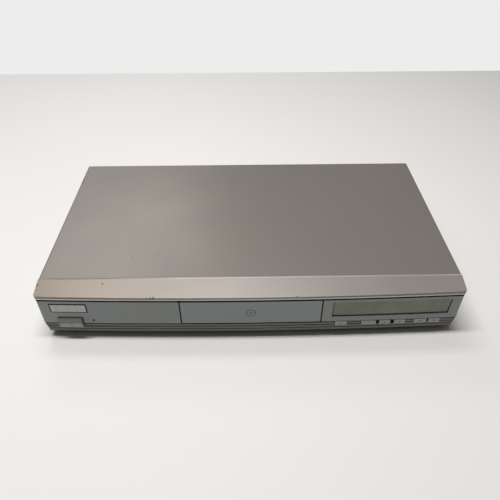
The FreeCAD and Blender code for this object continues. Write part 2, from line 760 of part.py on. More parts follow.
def top_cover():
    """Folded cover: flat top with bent edges, two sides and a rear fold."""
    half = HALF_WIDTH
    skins = []
    for inset, bend in ((0.0, COVER_BEND), (COVER_WALL, COVER_BEND - COVER_WALL)):
        skin = box(-half + inset, half - inset, SIDE_SEAM, COVER_REAR,
                   0 if inset else COVER_BOTTOM, BODY_HEIGHT - inset)
        top_edges = edges_where(skin, lambda p: abs(p.x) > half - inset - 0.01
                                and p.z > BODY_HEIGHT - inset - 0.01)
        skins.append(skin.makeFillet(bend, top_edges))
    cover = skins[0].cut(skins[1])
    seam = STRIP_REAR + SHEET_GAP
    under_strip = prism_x([(0, strip_height(0) - STRIP_WALL - SHEET_GAP),
                           (seam, strip_height(seam) - STRIP_WALL - SHEET_GAP),
                           (seam, 90), (0, 90)], -half - 5, half + 5)
    cover = cover.cut(under_strip)
    fold_y = COVER_REAR - COVER_WALL
    fold = box(-half + COVER_BEND + 1, half - COVER_BEND - 1, fold_y, COVER_REAR,
               BODY_HEIGHT - REAR_FOLD, BODY_HEIGHT - COVER_WALL / 2)
    cover = cover.fuse(fold)
    holes = [bar_y(x, below_top(COVER_REAR_DROP), fold_y - 1, COVER_REAR + 1, SCREW_RADIUS + SCREW_GAP)
             for x in COVER_REAR_SCREWS]
    for side in (-1, 1):
        for y in COVER_SIDE_SCREWS:
            x0, x1 = sorted((side * (half - 3), side * (half + 3)))
            holes.append(bar_x(y, COVER_SIDE_Z, x0, x1, SCREW_RADIUS + SCREW_GAP))
    return cover.cut(holes).removeSplitter()


def pan_half():
    return HALF_WIDTH - COVER_WALL - SHEET_GAP


def pan_rear():
    return rear_plane() - SHEET_GAP


def rear_plane():
    """Front face of the rear panel."""
    return COVER_REAR - COVER_WALL - SHEET_GAP - REAR_WALL


def vent_row(start, count, y, length, z0, z1):
    places = [start + k * VENT_STEP for k in range(count)]
    return [box(x - VENT_HALF, x + VENT_HALF, y - length / 2, y + length / 2, z0, z1)
            for x in places]


def base_pan():
    """Steel tray: floor, side, front and rear flanges, vents and formed pillars."""
    half, rear = pan_half(), pan_rear()
    floor = FOOT_HEIGHT
    flange_top = floor + PAN_FLANGE
    parts = [
        box(-half, half, PAN_FRONT, rear, floor, floor + PAN_WALL),
        box(-half, -half + PAN_WALL, PAN_FRONT, rear, floor, flange_top),
        box(half - PAN_WALL, half, PAN_FRONT, rear, floor, flange_top),
        box(-half, -LUG_REACH - 4, PAN_FRONT, PAN_FRONT + PAN_WALL, floor, floor + 11),
        box(LUG_REACH + 4, half, PAN_FRONT, PAN_FRONT + PAN_WALL, floor, floor + 11),
        box(-half, half, rear - PAN_WALL, rear, floor, floor + REAR_FLANGE),
    ]
    for x, y in board_pillars():
        parts.append(cone(x, y, floor + PAN_WALL - 0.2, BOARD_BOTTOM, 5.0, 3.4))
    for x, y in loader_pillars():
        parts.append(cone(x, y, floor + PAN_WALL - 0.2, LOADER_FLOOR, 5.5, 4.2))
    pan = parts[0].fuse(parts[1:])
    holes = []
    for x, y in board_pillars():
        holes.append(post(x, y, BOARD_BOTTOM - 5, 20, SCREW_RADIUS + SCREW_GAP))
    for x, y in loader_pillars():
        holes.append(post(x, y, floor - 1, 20, SCREW_RADIUS + SCREW_GAP))
    for x, y in foot_places():
        holes.append(post(x, y, floor - 1, floor + 5, FOOT_STUD + SCREW_GAP))
    for x in PANEL_BOSS_X:
        holes.append(bar_y(x, PANEL_BOSS_Z, PAN_FRONT - 1, PAN_FRONT + 3,
                           SCREW_RADIUS + SCREW_GAP))
    for x in REAR_FOOT_SCREWS:
        holes.append(bar_y(x, REAR_FOOT_Z, rear - 3, rear + 1, SCREW_RADIUS + SCREW_GAP))
    for side in (-1, 1):
        for y in COVER_SIDE_SCREWS:
            x0, x1 = sorted((side * (half - 3), side * (half + 3)))
            holes.append(bar_x(y, COVER_SIDE_Z, x0, x1, SCREW_RADIUS + SCREW_GAP))
    for y, length in ((95.0, 34.0), (140.0, 34.0)):
        holes += vent_row(-half + 24, 7, y, length, floor - 1, floor + 2)
        holes += vent_row(half - 62, 6, y, length, floor - 1, floor + 2)
    return pan.cut(holes).removeSplitter()


def foot_places():
    return [(side * FOOT_X, y) for side in (-1, 1) for y in (FOOT_FRONT, FOOT_REAR)]


def feet():
    """Round feet with a ring pad below and a stud through the base pan."""
    solids = []
    for x, y in foot_places():
        body = cone(x, y, 0, FOOT_HEIGHT, FOOT_RADIUS - 1.2, FOOT_RADIUS)
        recess = ring(x, y, -1, FOOT_PAD_DEPTH, 8.5, 6.0)
        stud = post(x, y, FOOT_HEIGHT - 1, FOOT_HEIGHT + 3.5, FOOT_STUD)
        clip = cone(x, y, FOOT_HEIGHT + PAN_WALL + 0.05, FOOT_HEIGHT + 3.5,
                    FOOT_STUD + 1.0, FOOT_STUD)
        solids.append(join(body.cut(recess), stud, clip))
    return Part.makeCompound(solids)


def inlet_well(y0, y1):
    """Figure-eight opening: two rounds joined by a waist."""
    rounds = [bar_y(INLET_X + side * INLET_ROUND_X, INLET_Z, y0, y1, INLET_ROUND)
              for side in (-1, 1)]
    waist = box(INLET_X - INLET_ROUND_X, INLET_X + INLET_ROUND_X, y0, y1,
                INLET_Z - INLET_WAIST, INLET_Z + INLET_WAIST)
    return join(*rounds, waist)


def plug_places():
    places = [(x, z) for x in PLUG_COLUMNS for z in PLUG_ROWS]
    return places + [(COAX_X, SOCKET_Z)]


def rear_panel():
    """Steel back with socket holes and vents."""
    near = rear_plane()
    far = near + REAR_WALL
    half = pan_half() - SHEET_GAP
    plate = box(-half, half, near, far, FOOT_HEIGHT, BODY_HEIGHT - COVER_WALL - SHEET_GAP)
    holes = [bar_y(x, z, near - 1, far + 1, PLUG_HOLE) for x, z in plug_places()]
    holes.append(bar_y(S_VIDEO_X, SOCKET_Z, near - 1, far + 1, S_VIDEO_RADIUS + 0.3))
    holes.append(box(OPTICAL_X - 5.2, OPTICAL_X + 5.2, near - 1, far + 1,
                     SOCKET_Z - 4.8, SOCKET_Z + 4.8))
    inlet_half, inlet_tall = INLET_HALF + 0.3, INLET_TALL + 0.3
    holes.append(box(INLET_X - inlet_half, INLET_X + inlet_half, near - 1, far + 1,
                     INLET_Z - inlet_tall, INLET_Z + inlet_tall))
    for x in COVER_REAR_SCREWS:
        holes.append(bar_y(x, below_top(COVER_REAR_DROP), near - 1, far + 1, SCREW_RADIUS + SCREW_GAP))
    for x in REAR_FOOT_SCREWS:
        holes.append(bar_y(x, REAR_FOOT_Z, near - 1, far + 1, SCREW_RADIUS + SCREW_GAP))
    for x, z in panel_jack_screws():
        holes.append(bar_y(x, z, near - 1, far + 1, SCREW_RADIUS + SCREW_GAP))
    for index in range(14):
        x = REAR_VENT_LEFT + index * REAR_VENT_STEP
        holes.append(box(x - VENT_HALF, x + VENT_HALF, near - 1, far + 1, REAR_VENT_LOW,
                         below_top(REAR_VENT_DROP)))
    return plate.cut(holes).removeSplitter()


def panel_jack_screws():
    return [((PLUG_COLUMNS[0] + PLUG_COLUMNS[1]) / 2, sum(PLUG_ROWS) / 2),
            (COAX_X + 10.5, SOCKET_Z + 11)]


# Screws

def screw_y(x, z, seat, length, outward=1, head=SCREW_HEAD):
    """Screw along Y; its head lies on the seat and points outward."""
    if outward > 0:
        shank = bar_y(x, z, seat - length, seat + 0.1, SCREW_RADIUS)
        cap = bar_y(x, z, seat, seat + head, SCREW_HEAD_RADIUS)
        cross = cross_slot_y(x, z, seat + head)
    else:
        shank = bar_y(x, z, seat - 0.1, seat + length, SCREW_RADIUS)
        cap = bar_y(x, z, seat - head, seat, SCREW_HEAD_RADIUS)
        cross = cross_slot_y(x, z, seat - head)
    return join(shank, cap).cut(cross)


def cross_slot_y(x, z, y):
    arms = box(x - 1.7, x + 1.7, y - 0.6, y + 0.6, z - 0.3, z + 0.3)
    return arms.fuse(box(x - 0.3, x + 0.3, y - 0.6, y + 0.6, z - 1.7, z + 1.7))


def screw_x(side, y, z, seat, length):
    """Low-headed screw through a side wall."""
    x0, x1 = sorted((side * (seat - length), side * (seat + 0.1)))
    h0, h1 = sorted((side * seat, side * (seat + COVER_SCREW_HEAD)))
    head = bar_x(y, z, h0, h1, SCREW_HEAD_RADIUS)
    edge = side * (seat + COVER_SCREW_HEAD)
    cross = box(edge - 0.6, edge + 0.6, y - 1.7, y + 1.7, z - 0.3, z + 0.3)
    cross = cross.fuse(box(edge - 0.6, edge + 0.6, y - 0.3, y + 0.3, z - 1.7, z + 1.7))
    return join(bar_x(y, z, x0, x1, SCREW_RADIUS), head).cut(cross)


def screw_down(x, y, seat, length):
    """Screw that stands head up on the seat."""
    shank = post(x, y, seat - length, seat + 0.1, SCREW_RADIUS)
    cap = post(x, y, seat, seat + SCREW_HEAD, SCREW_HEAD_RADIUS)
    top = seat + SCREW_HEAD
    cross = box(x - 1.7, x + 1.7, y - 0.3, y + 0.3, top - 0.6, top + 0.6)
    cross = cross.fuse(box(x - 0.3, x + 0.3, y - 1.7, y + 1.7, top - 0.6, top + 0.6))
    return join(shank, cap).cut(cross)


def cover_screws():
    solids = [screw_y(x, below_top(COVER_REAR_DROP), COVER_REAR, COVER_SCREW_LENGTH)
              for x in COVER_REAR_SCREWS]
    for side in (-1, 1):
        for y in COVER_SIDE_SCREWS:
            solids.append(screw_x(side, y, COVER_SIDE_Z, HALF_WIDTH, COVER_SCREW_LENGTH))
    return Part.makeCompound(solids)


def panel_screws():
    """Screws of the front panel, the rear panel and its sockets."""
    solids = [screw_y(x, PANEL_BOSS_Z, PAN_FRONT + PAN_WALL, PANEL_SCREW_LENGTH)
              for x in PANEL_BOSS_X]
    seat = rear_plane() + REAR_WALL
    solids += [screw_y(x, REAR_FOOT_Z, seat, PANEL_SCREW_LENGTH) for x in REAR_FOOT_SCREWS]
    solids += [screw_y(x, z, seat, PANEL_SCREW_LENGTH) for x, z in panel_jack_screws()]
    return Part.makeCompound(solids)


def board_screws():
    solids = [screw_down(x, y, BOARD_BOTTOM + BOARD_WALL, BOARD_SCREW_LENGTH)
              for x, y in board_pillars()]
    solids += [screw_y(x, z, FRONT_BOARD_Y + BOARD_WALL, BOARD_SCREW_LENGTH - 0.5)
               for x, z in front_board_posts()]
    return Part.makeCompound(solids)


def loader_screws():
    solids = [screw_down(x, y, LOADER_FLOOR + LUG_WALL, LUG_WALL + 3)
              for x, y in loader_pillars()]
    return Part.makeCompound(solids)


# Electronics

def board_pillars():
    return power_board_holes() + main_board_holes()


def power_board_holes():
    outer, inner = -POWER_OUTER + 6, -POWER_INNER - 7
    return [(outer, POWER_FRONT + 7), (inner, POWER_FRONT + 7), (outer, POWER_REAR - 6),
            (inner, POWER_REAR - 40)]


def main_board_holes():
    inner, outer = MAIN_INNER + 18, MAIN_OUTER - 6
    return [(x, y) for y in (MAIN_FRONT + 14, MAIN_REAR - 41) for x in (inner, outer)]


def on_power_board(share):
    """X at a share of the power board's width, from its outer edge."""
    return -POWER_OUTER + share * (POWER_OUTER - POWER_INNER)


def on_main_board(share):
    """X at a share of the main board's width, from its inner edge."""
    return MAIN_INNER + share * (MAIN_OUTER - MAIN_INNER)


def loader_pillars():
    return [(side * (LUG_REACH - 4), y) for side in (-1, 1) for y in LUG_Y]


def drilled_board(x0, x1, y0, y1, places):
    board = box(x0, x1, y0, y1, BOARD_BOTTOM, BOARD_BOTTOM + BOARD_WALL)
    holes = [post(x, y, 0, 30, SCREW_RADIUS + SCREW_GAP) for x, y in places]
    return board.cut(holes)


def board_top():
    return BOARD_BOTTOM + BOARD_WALL


def power_board():
    """Power supply board with its output connector."""
    board = drilled_board(-POWER_OUTER, -POWER_INNER, POWER_FRONT, POWER_REAR,
                          power_board_holes())
    low, right = board_top(), -POWER_INNER - 1
    plug = box(right - 6, right, CABLE_Y - 9, CABLE_Y + 9, low, low + CABLE_PLUG)
    choke = post(on_power_board(0.14), 185, low, low + 14, 8)
    x = on_power_board(0.561)
    filter_cap = box(x - 9, x + 9, 178, 186, low, low + 13)
    x = on_power_board(0.7237)
    small_cap = box(x - 5.5, x + 5.5, 178, 190, low, low + 10)
    return join(board, plug, choke, filter_cap, small_cap)


def transformer():
    """Switching transformer: ferrite core round a wound bobbin."""
    x, y, low = on_power_board(0.4825), 133.0, board_top() + BOBBIN_BASE
    top = low + CORE_HEIGHT
    half, wide, room = CORE_HALF, WINDING_HALF, CORE_HALF - 4.5
    core = box(x - half, x + half, y - half, y + half, low, top)
    core = core.cut(box(x - wide, x + wide, y - room, y + room, low + CORE_WALL,
                        top - CORE_WALL))
    winding = box(x - wide, x + wide, y - room + 0.3, y + room - 0.3, low + CORE_WALL + 0.3,
                  top - CORE_WALL - 0.3)
    base = box(x - wide, x + wide, y - half - 2, y + half + 2, board_top(), low)
    return join(core, winding, base)


def can(x, y, radius, height):
    """Upright capacitor with a grooved foot and a scored top."""
    z = board_top()
    body = post(x, y, z, z + height, radius)
    groove = ring(x, y, z + 1.6, z + 2.4, radius + 1, radius - 0.4)
    score = box(x - radius * 0.6, x + radius * 0.6, y - 0.2, y + 0.2, z + height - 0.3,
                z + height + 1)
    return body.cut([groove, score])


def power_capacitors():
    places = ((0.219, 110.0, 11.0, 32.0), (0.7105, 158.0, 5.0, 20.0),
              (0.8246, 158.0, 5.0, 20.0), (0.7105, 144.0, 4.0, 12.0),
              (0.8246, 144.0, 5.0, 16.0))
    return Part.makeCompound([can(on_power_board(share), y, radius, height)
                              for share, y, radius, height in places])


def heat_sink():
    """Finned plate with its power transistor."""
    z = board_top()
    x, y = -POWER_OUTER + 13, 128.0
    top = z + SINK_HEIGHT
    face = x + SINK_WALL
    plate = box(x, face, y, y + SINK_LENGTH, z, top)
    fins = [box(x - FIN_REACH, face, y + k * FIN_STEP, y + k * FIN_STEP + FIN_WALL, z + 3, top)
            for k in range(SINK_FINS)]
    transistor = box(face, x + 7, y + 12, y + 22, z + 8, z + 23)
    return join(plate, transistor, *fins)


def mains_switch():
    """Push switch at the front of the power board; the rod enters its bore."""
    x, z, front, half = button_centre(), button_level(), MAINS_SWITCH_FRONT, MAINS_SWITCH_HALF
    body = box(x - half, x + half, front, front + MAINS_SWITCH_LENGTH, board_top(),
               z + half - 1)
    neck = bar_y(x, z, front - 3, front, ROD_SHANK * 2)
    bore = bar_y(x, z, front - 4, front + 5 + BUTTON_TRAVEL, ROD_SHANK + 0.1)
    return join(body, neck).cut(bore)


def mains_inlet():
    """Two-pole figure-eight inlet with its two pins, standing on the power board."""
    far = rear_plane() + REAR_WALL + 1.2
    near = far - INLET_DEPTH
    body = box(INLET_X - INLET_HALF, INLET_X + INLET_HALF, near, far, INLET_Z - INLET_TALL,
               INLET_Z + INLET_TALL)
    foot = box(INLET_X - 8, INLET_X + 8, near, pan_rear() - 3, board_top(),
               INLET_Z - INLET_TALL + 0.5)
    body = join(body, foot).cut(inlet_well(far - INLET_WELL, far + 1))
    pins = [bar_y(INLET_X + side * 4.3, INLET_Z, far - INLET_WELL - 1, far - 3.5, INLET_PIN)
            for side in (-1, 1)]
    return join(body, *pins)


def fuse():
    """Glass tube fuse with end caps in two clips."""
    x, y, z = on_power_board(0.149), 92.0, board_top() + 5
    pieces_of_fuse = [bar_x(y, z, x - FUSE_HALF + 1, x + FUSE_HALF - 1, FUSE_RADIUS)]
    for near, far in ((-FUSE_HALF, -FUSE_CAP), (FUSE_CAP, FUSE_HALF)):
        pieces_of_fuse.append(bar_x(y, z, x + near, x + far, FUSE_RADIUS + 0.3))
        pieces_of_fuse.append(box(x + near + 1, x + far - 1, y - 3.2, y + 3.2, board_top(), z))
    return join(*pieces_of_fuse)


def main_board():
    """Decoder board with the connectors of its cables."""
    board = drilled_board(MAIN_INNER, MAIN_OUTER, MAIN_FRONT, MAIN_REAR, main_board_holes())
    top, left = board_top(), MAIN_INNER
    power_plug = box(left + 6, left + 12, CABLE_Y - 9, CABLE_Y + 9, top, top + CABLE_PLUG)
    ribbon_plug = box(RIBBON_X - RIBBON_PLUG_HALF, RIBBON_X + RIBBON_PLUG_HALF, RIBBON_REAR,
                      RIBBON_REAR + RIBBON_PLUG_DEPTH, top, top + 6)
    slot = box(RIBBON_X - RIBBON_WIDTH / 2 - 0.2, RIBBON_X + RIBBON_WIDTH / 2 + 0.2,
               RIBBON_REAR - 1, RIBBON_REAR + 4, top + 2.6, top + 3.4)
    pickup_plug = box(left + 2, left + 8, PICKUP_PLUG_FRONT,
                      PICKUP_PLUG_FRONT + PICKUP_PLUG_LENGTH, top, top + 4)
    return join(board, power_plug, ribbon_plug.cut(slot), pickup_plug)


def chip(x, y, width, depth, height):
    z = board_top()
    body = box(x - width / 2, x + width / 2, y - depth / 2, y + depth / 2, z + 0.3,
               z + height)
    leads = box(x - width / 2 - 1, x + width / 2 + 1, y - depth / 2 + 1.5,
                y + depth / 2 - 1.5, z, z + 0.7)
    return join(body, leads)


def main_chips():
    places = ((0.533, 140.0, 26.0, 26.0, 3.6), (0.533, 112.0, 22.0, 10.0, 1.4),
              (0.267, 150.0, 12.0, 18.0, 1.4), (0.267, 120.0, 14.0, 14.0, 1.8),
              (0.783, 120.0, 10.0, 8.0, 1.8), (0.783, 150.0, 16.0, 8.0, 1.8))
    return Part.makeCompound([chip(on_main_board(share), *rest) for share, *rest in places])


def board_capacitors():
    places = ((0.867, 170.0, 4.0, 11.0), (0.767, 170.0, 4.0, 11.0),
              (0.667, 172.0, 3.2, 8.0), (0.367, 180.0, 4.0, 11.0),
              (0.167, 176.0, 5.0, 12.0), (0.917, 140.0, 3.2, 8.0))
    return Part.makeCompound([can(on_main_board(share), *rest) for share, *rest in places])


def phono_socket(x, z):
    """Barrel through the rear panel with a hole for the plug's pin."""
    near = rear_plane()
    tip = near + REAR_WALL + PLUG_REACH
    barrel = bar_y(x, z, near - 8, tip, PLUG_RADIUS)
    flange = bar_y(x, z, near + REAR_WALL + 0.1, near + REAR_WALL + 1.3, PLUG_RADIUS + 1.6)
    inner = bar_y(x, z, tip - 8, tip + 1, PLUG_PIN_HOLE)
    return barrel.fuse(flange).cut(inner)


def av_jacks():
    """Phono sockets: two rows of three in one block, and a single one."""
    near = rear_plane()
    body = box(PLUG_COLUMNS[2] - JACK_HALF, PLUG_COLUMNS[0] + JACK_HALF, near - 14, near - 0.3,
               board_top(), PLUG_ROWS[1] + JACK_HALF)
    single = box(COAX_X - JACK_HALF, COAX_X + JACK_HALF, near - 14, near - 0.3, board_top(),
                 SOCKET_Z + 14)
    holes = [bar_y(x, z, near - PANEL_SCREW_LENGTH, near, SCREW_RADIUS + SCREW_GAP)
             for x, z in panel_jack_screws()]
    wing = box(COAX_X + 6, COAX_X + 14, near - 8, near - 0.3, SOCKET_Z + 7, SOCKET_Z + 14)
    stacked = body
    for x in PLUG_COLUMNS:
        for z in PLUG_ROWS:
            stacked = stacked.fuse(phono_socket(x, z))
            stacked = stacked.cut(bar_y(x, z, near + REAR_WALL + PLUG_REACH - 8,
                                        near + 20, PLUG_PIN_HOLE))
    single = single.fuse([wing, phono_socket(COAX_X, SOCKET_Z)])
    single = single.cut(bar_y(COAX_X, SOCKET_Z, near + REAR_WALL + PLUG_REACH - 8,
                              near + 20, PLUG_PIN_HOLE))
    return Part.makeCompound([stacked.cut(holes).removeSplitter(),
                              single.cut(holes).removeSplitter()])


def s_video_socket():
    """Four-pin round video socket."""
    near = rear_plane()
    body = box(S_VIDEO_X - 7, S_VIDEO_X + 7, near - 12, near - 0.3, board_top(),
               SOCKET_Z + 7)
    nose = bar_y(S_VIDEO_X, SOCKET_Z, near - 1, near + REAR_WALL + 1.2, S_VIDEO_RADIUS)
    well = bar_y(S_VIDEO_X, SOCKET_Z, near - 8, near + 5, S_VIDEO_RADIUS - 1.2)
    core = bar_y(S_VIDEO_X, SOCKET_Z, near - 8.5, near + REAR_WALL + 0.6, 3.4)
    pins = [bar_y(S_VIDEO_X + dx, SOCKET_Z + dz, near - 4, near + 5, 0.5)
            for dx, dz in ((-1.9, 0.8), (1.9, 0.8), (-1.2, -1.5), (1.2, -1.5))]
    return join(join(body, nose).cut(well), core).cut(pins)


def optical_socket():
    """Square digital output with a shutter."""
    near = rear_plane()
    half = 4.9
    body = box(OPTICAL_X - half, OPTICAL_X + half, near - 13, near + REAR_WALL + 1.0,
               SOCKET_Z - 4.5, SOCKET_Z + 4.5)
    foot = box(OPTICAL_X - half, OPTICAL_X + half, near - 13, near - 3, board_top(),
               SOCKET_Z - 4)
    well = box(OPTICAL_X - 3.6, OPTICAL_X + 3.6, near - 7, near + 5, SOCKET_Z - 3.4,
               SOCKET_Z + 3.4)
    shutter = box(OPTICAL_X - 3.4, OPTICAL_X + 3.4, near - 1, near - 0.2, SOCKET_Z - 3.2,
                  SOCKET_Z + 3.5)
    return join(join(body, foot).cut(well), shutter)


def folded_strip(points, x0, x1, wall):
    """Flat cable that follows points in Y and Z."""
    upper = [(y, z + wall) for y, z in points]
    return prism_x(points + upper[::-1], x0, x1)


def ribbon_cable():
    """Flat cable from the front board to the main board."""
    start = FRONT_BOARD_Y + BOARD_WALL
    level = board_top() + 3 - RIBBON_WALL / 2
    upper = RIBBON_LEVEL - RIBBON_WALL / 2
    outline = [(start + 1.2, upper), (start + 11, upper), (start + 26, 30), (52, 24),
               (RIBBON_REAR - 12, level + 1), (RIBBON_REAR - 6, level),
               (RIBBON_REAR + 3, level)]
    return folded_strip(outline, RIBBON_X - RIBBON_WIDTH / 2, RIBBON_X + RIBBON_WIDTH / 2,
                        RIBBON_WALL)


def power_cable():
    """Flat cable from the power board to the main board, behind the loader."""
    low = board_top() + CABLE_PLUG
    y0, y1 = CABLE_Y - 7, CABLE_Y + 7
    crown = low + 6
    left, right = -POWER_INNER - 4, MAIN_INNER + 9
    outline = [(left - 0.5, low), (left - 0.5, low + 3), (left + 7, crown), (right - 7, crown),
               (right + 0.5, low + 3), (right + 0.5, low), (right - 0.5, low),
               (right - 0.5, low + 2.6), (right - 7.4, crown - 1), (left + 7.4, crown - 1),
               (left + 0.5, low + 2.6), (left + 0.5, low)]
    return prism_y(outline, y0, y1)


# Gears and racks

def involute(angle):
    return math.tan(angle) - angle


def gear(module, teeth, x, y, z0, z1, turn):
    """Spur gear with involute flanks; one tooth points at the angle turn, in degrees."""
    pitch = module * teeth / 2
    base = pitch * math.cos(PRESSURE_ANGLE)
    tip = pitch + ADDENDUM * module
    root = pitch - DEDENDUM * module
    half_pitch = math.pi / (2 * teeth) - GEAR_BACKLASH * module / (4 * pitch)

    def half_angle(radius):
        lean = math.acos(min(1.0, base / radius))
        return half_pitch + involute(PRESSURE_ANGLE) - involute(lean)

    start = max(root, base)
    radii = [start + (tip - start) * share for share in (0.0, 0.5, 1.0)]
    if root < base:
        radii.insert(0, root)
    points = []
    for tooth in range(teeth):
        centre = math.radians(turn) + 2 * math.pi * tooth / teeth
        flank = [(radius, half_angle(max(radius, base))) for radius in radii]
        for radius, half in flank:
            points.append(Vector(x + radius * math.cos(centre - half),
                                 y + radius * math.sin(centre - half), z0))
        for radius, half in reversed(flank):
            points.append(Vector(x + radius * math.cos(centre + half),
                                 y + radius * math.sin(centre + half), z0))
    return face_of(points).extrude(Vector(0, 0, z1 - z0))


def rack(module, pitch_x, back_x, space_y, y0, y1, z0, z1):
    """Rack along Y whose teeth face +X; a tooth space is centred on space_y."""
    step = math.pi * module
    root_x = pitch_x - DEDENDUM * module
    tip_x = pitch_x + ADDENDUM * module
    half = step / 4 - GEAR_BACKLASH * module / 4
    slope = math.tan(PRESSURE_ANGLE)
    root_half = half + DEDENDUM * module * slope
    tip_half = half - ADDENDUM * module * slope
    points = [(back_x, y0), (root_x, y0)]
    first = math.ceil((y0 + root_half - space_y) / step - 0.5)
    last = math.floor((y1 - root_half - space_y) / step - 0.5)
    for index in range(first, last + 1):
        centre = space_y + (index + 0.5) * step
        points += [(root_x, centre - root_half), (tip_x, centre - tip_half),
                   (tip_x, centre + tip_half), (root_x, centre + root_half)]
    points += [(root_x, y1), (back_x, y1)]
    return prism_z(points, z0, z1)


# Tray drive

def rack_radius():
    return RACK_MODULE * RACK_GEAR_TEETH / 2


def pulley_gear_x():
    return DRIVE_X + TRAIN_MODULE * (DRIVE_TEETH + PULLEY_TEETH) / 2


def floor_top():
    return LOADER_FLOOR + LOADER_SHEET


def axle_boss_top():
    return floor_top() + 1.5


def drive_gear():
    """Two-stage gear: the large wheel below, the tray's pinion above."""
    x, y = DRIVE_X, DRIVE_Y
    bottom = axle_boss_top() + 0.1
    wheel = gear(TRAIN_MODULE, DRIVE_TEETH, x, y, TRAIN_LOW, TRAIN_HIGH, 0.0)
    pinion = gear(RACK_MODULE, RACK_GEAR_TEETH, x, y, RACK_LOW, RACK_HIGH, 180.0)
    hub = post(x, y, bottom, RACK_LOW + 0.5, 5.5)
    web = ring(x, y, TRAIN_LOW - 1, TRAIN_LOW + 1.2, 13.0, 7.0)
    bore = post(x, y, 0, 60, AXLE_RADIUS + BORE_GAP)
    return join(wheel.cut(web), pinion, hub).cut(bore)


def pulley_body(x, y, radius):
    """Belt wheel with a groove for the belt."""
    low, high = BELT_LEVEL - PULLEY_HALF, BELT_LEVEL + PULLEY_HALF
    wheel = post(x, y, low, high, radius + PULLEY_FLANGE)
    half = BELT_SIZE / 2 + 0.3
    return wheel.cut(ring(x, y, BELT_LEVEL - half, BELT_LEVEL + half,
                          radius + PULLEY_FLANGE + 1, radius))


def pulley_gear():
    """Belt wheel with the pinion that turns the large wheel."""
    x, y = pulley_gear_x(), DRIVE_Y
    pinion = gear(TRAIN_MODULE, PULLEY_TEETH, x, y, TRAIN_LOW - 0.3, TRAIN_HIGH + 0.5,
                  180.0 / PULLEY_TEETH)
    hub = post(x, y, axle_boss_top() + 0.1, BELT_LEVEL, 3.2)
    bore = post(x, y, 0, 60, AXLE_RADIUS + BORE_GAP)
    return join(pulley_body(x, y, WHEEL_RADIUS), hub, pinion).cut(bore)


def motor_pulley():
    """Small pulley pressed on the motor's shaft."""
    shaft = post(MOTOR_X, DRIVE_Y, floor_top() + 9, BELT_LEVEL + PULLEY_HALF + 0.6,
                 MOTOR_SHAFT)
    return join(pulley_body(MOTOR_X, DRIVE_Y, MOTOR_PULLEY_RADIUS), shaft)


def loading_motor():
    """Small can motor that stands on the loader's floor."""
    x, y, low = MOTOR_X, DRIVE_Y, floor_top()
    top, flat = low + MOTOR_HEIGHT, MOTOR_RADIUS - 2
    body = post(x, y, low, top, MOTOR_RADIUS)
    flats = [box(x - 20, x + 20, y + flat, y + 20, low + 6, top + 1),
             box(x - 20, x + 20, y - 20, y - flat, low + 6, top + 1)]
    neck = post(x, y, top - 1, top + 1.5, MOTOR_SHAFT * 3)
    bore = post(x, y, low + 8, top + 2, MOTOR_SHAFT + BORE_GAP)
    return join(body.cut(flats), neck).cut(bore)


def belt_outline(grow, z):
    """Closed line round both pulleys, at a distance from their grooves."""
    x0, x1, y = pulley_gear_x(), MOTOR_X, DRIVE_Y
    big = WHEEL_RADIUS + BELT_GAP + grow
    small = MOTOR_PULLEY_RADIUS + BELT_GAP + grow
    lean = math.acos((big - small) / (x1 - x0))
    up, right = math.cos(lean), math.sin(lean)

    def at(x, radius, sign):
        return Vector(x + radius * up, y + sign * radius * right, z)

    big_arc = Part.Arc(at(x0, big, 1), Vector(x0 - big, y, z), at(x0, big, -1)).toShape()
    small_arc = Part.Arc(at(x1, small, -1), Vector(x1 + small, y, z),
                         at(x1, small, 1)).toShape()
    low_run = Part.makeLine(at(x0, big, -1), at(x1, small, -1))
    high_run = Part.makeLine(at(x1, small, 1), at(x0, big, 1))
    return Part.Wire([big_arc, low_run, small_arc, high_run])


def drive_belt():
    """Square rubber belt between the two pulleys."""
    z = BELT_LEVEL - BELT_SIZE / 2
    height = Vector(0, 0, BELT_SIZE)
    outer = Part.Face(belt_outline(BELT_SIZE, z)).extrude(height)
    return outer.cut(Part.Face(belt_outline(0.0, z)).extrude(height))


# Loader

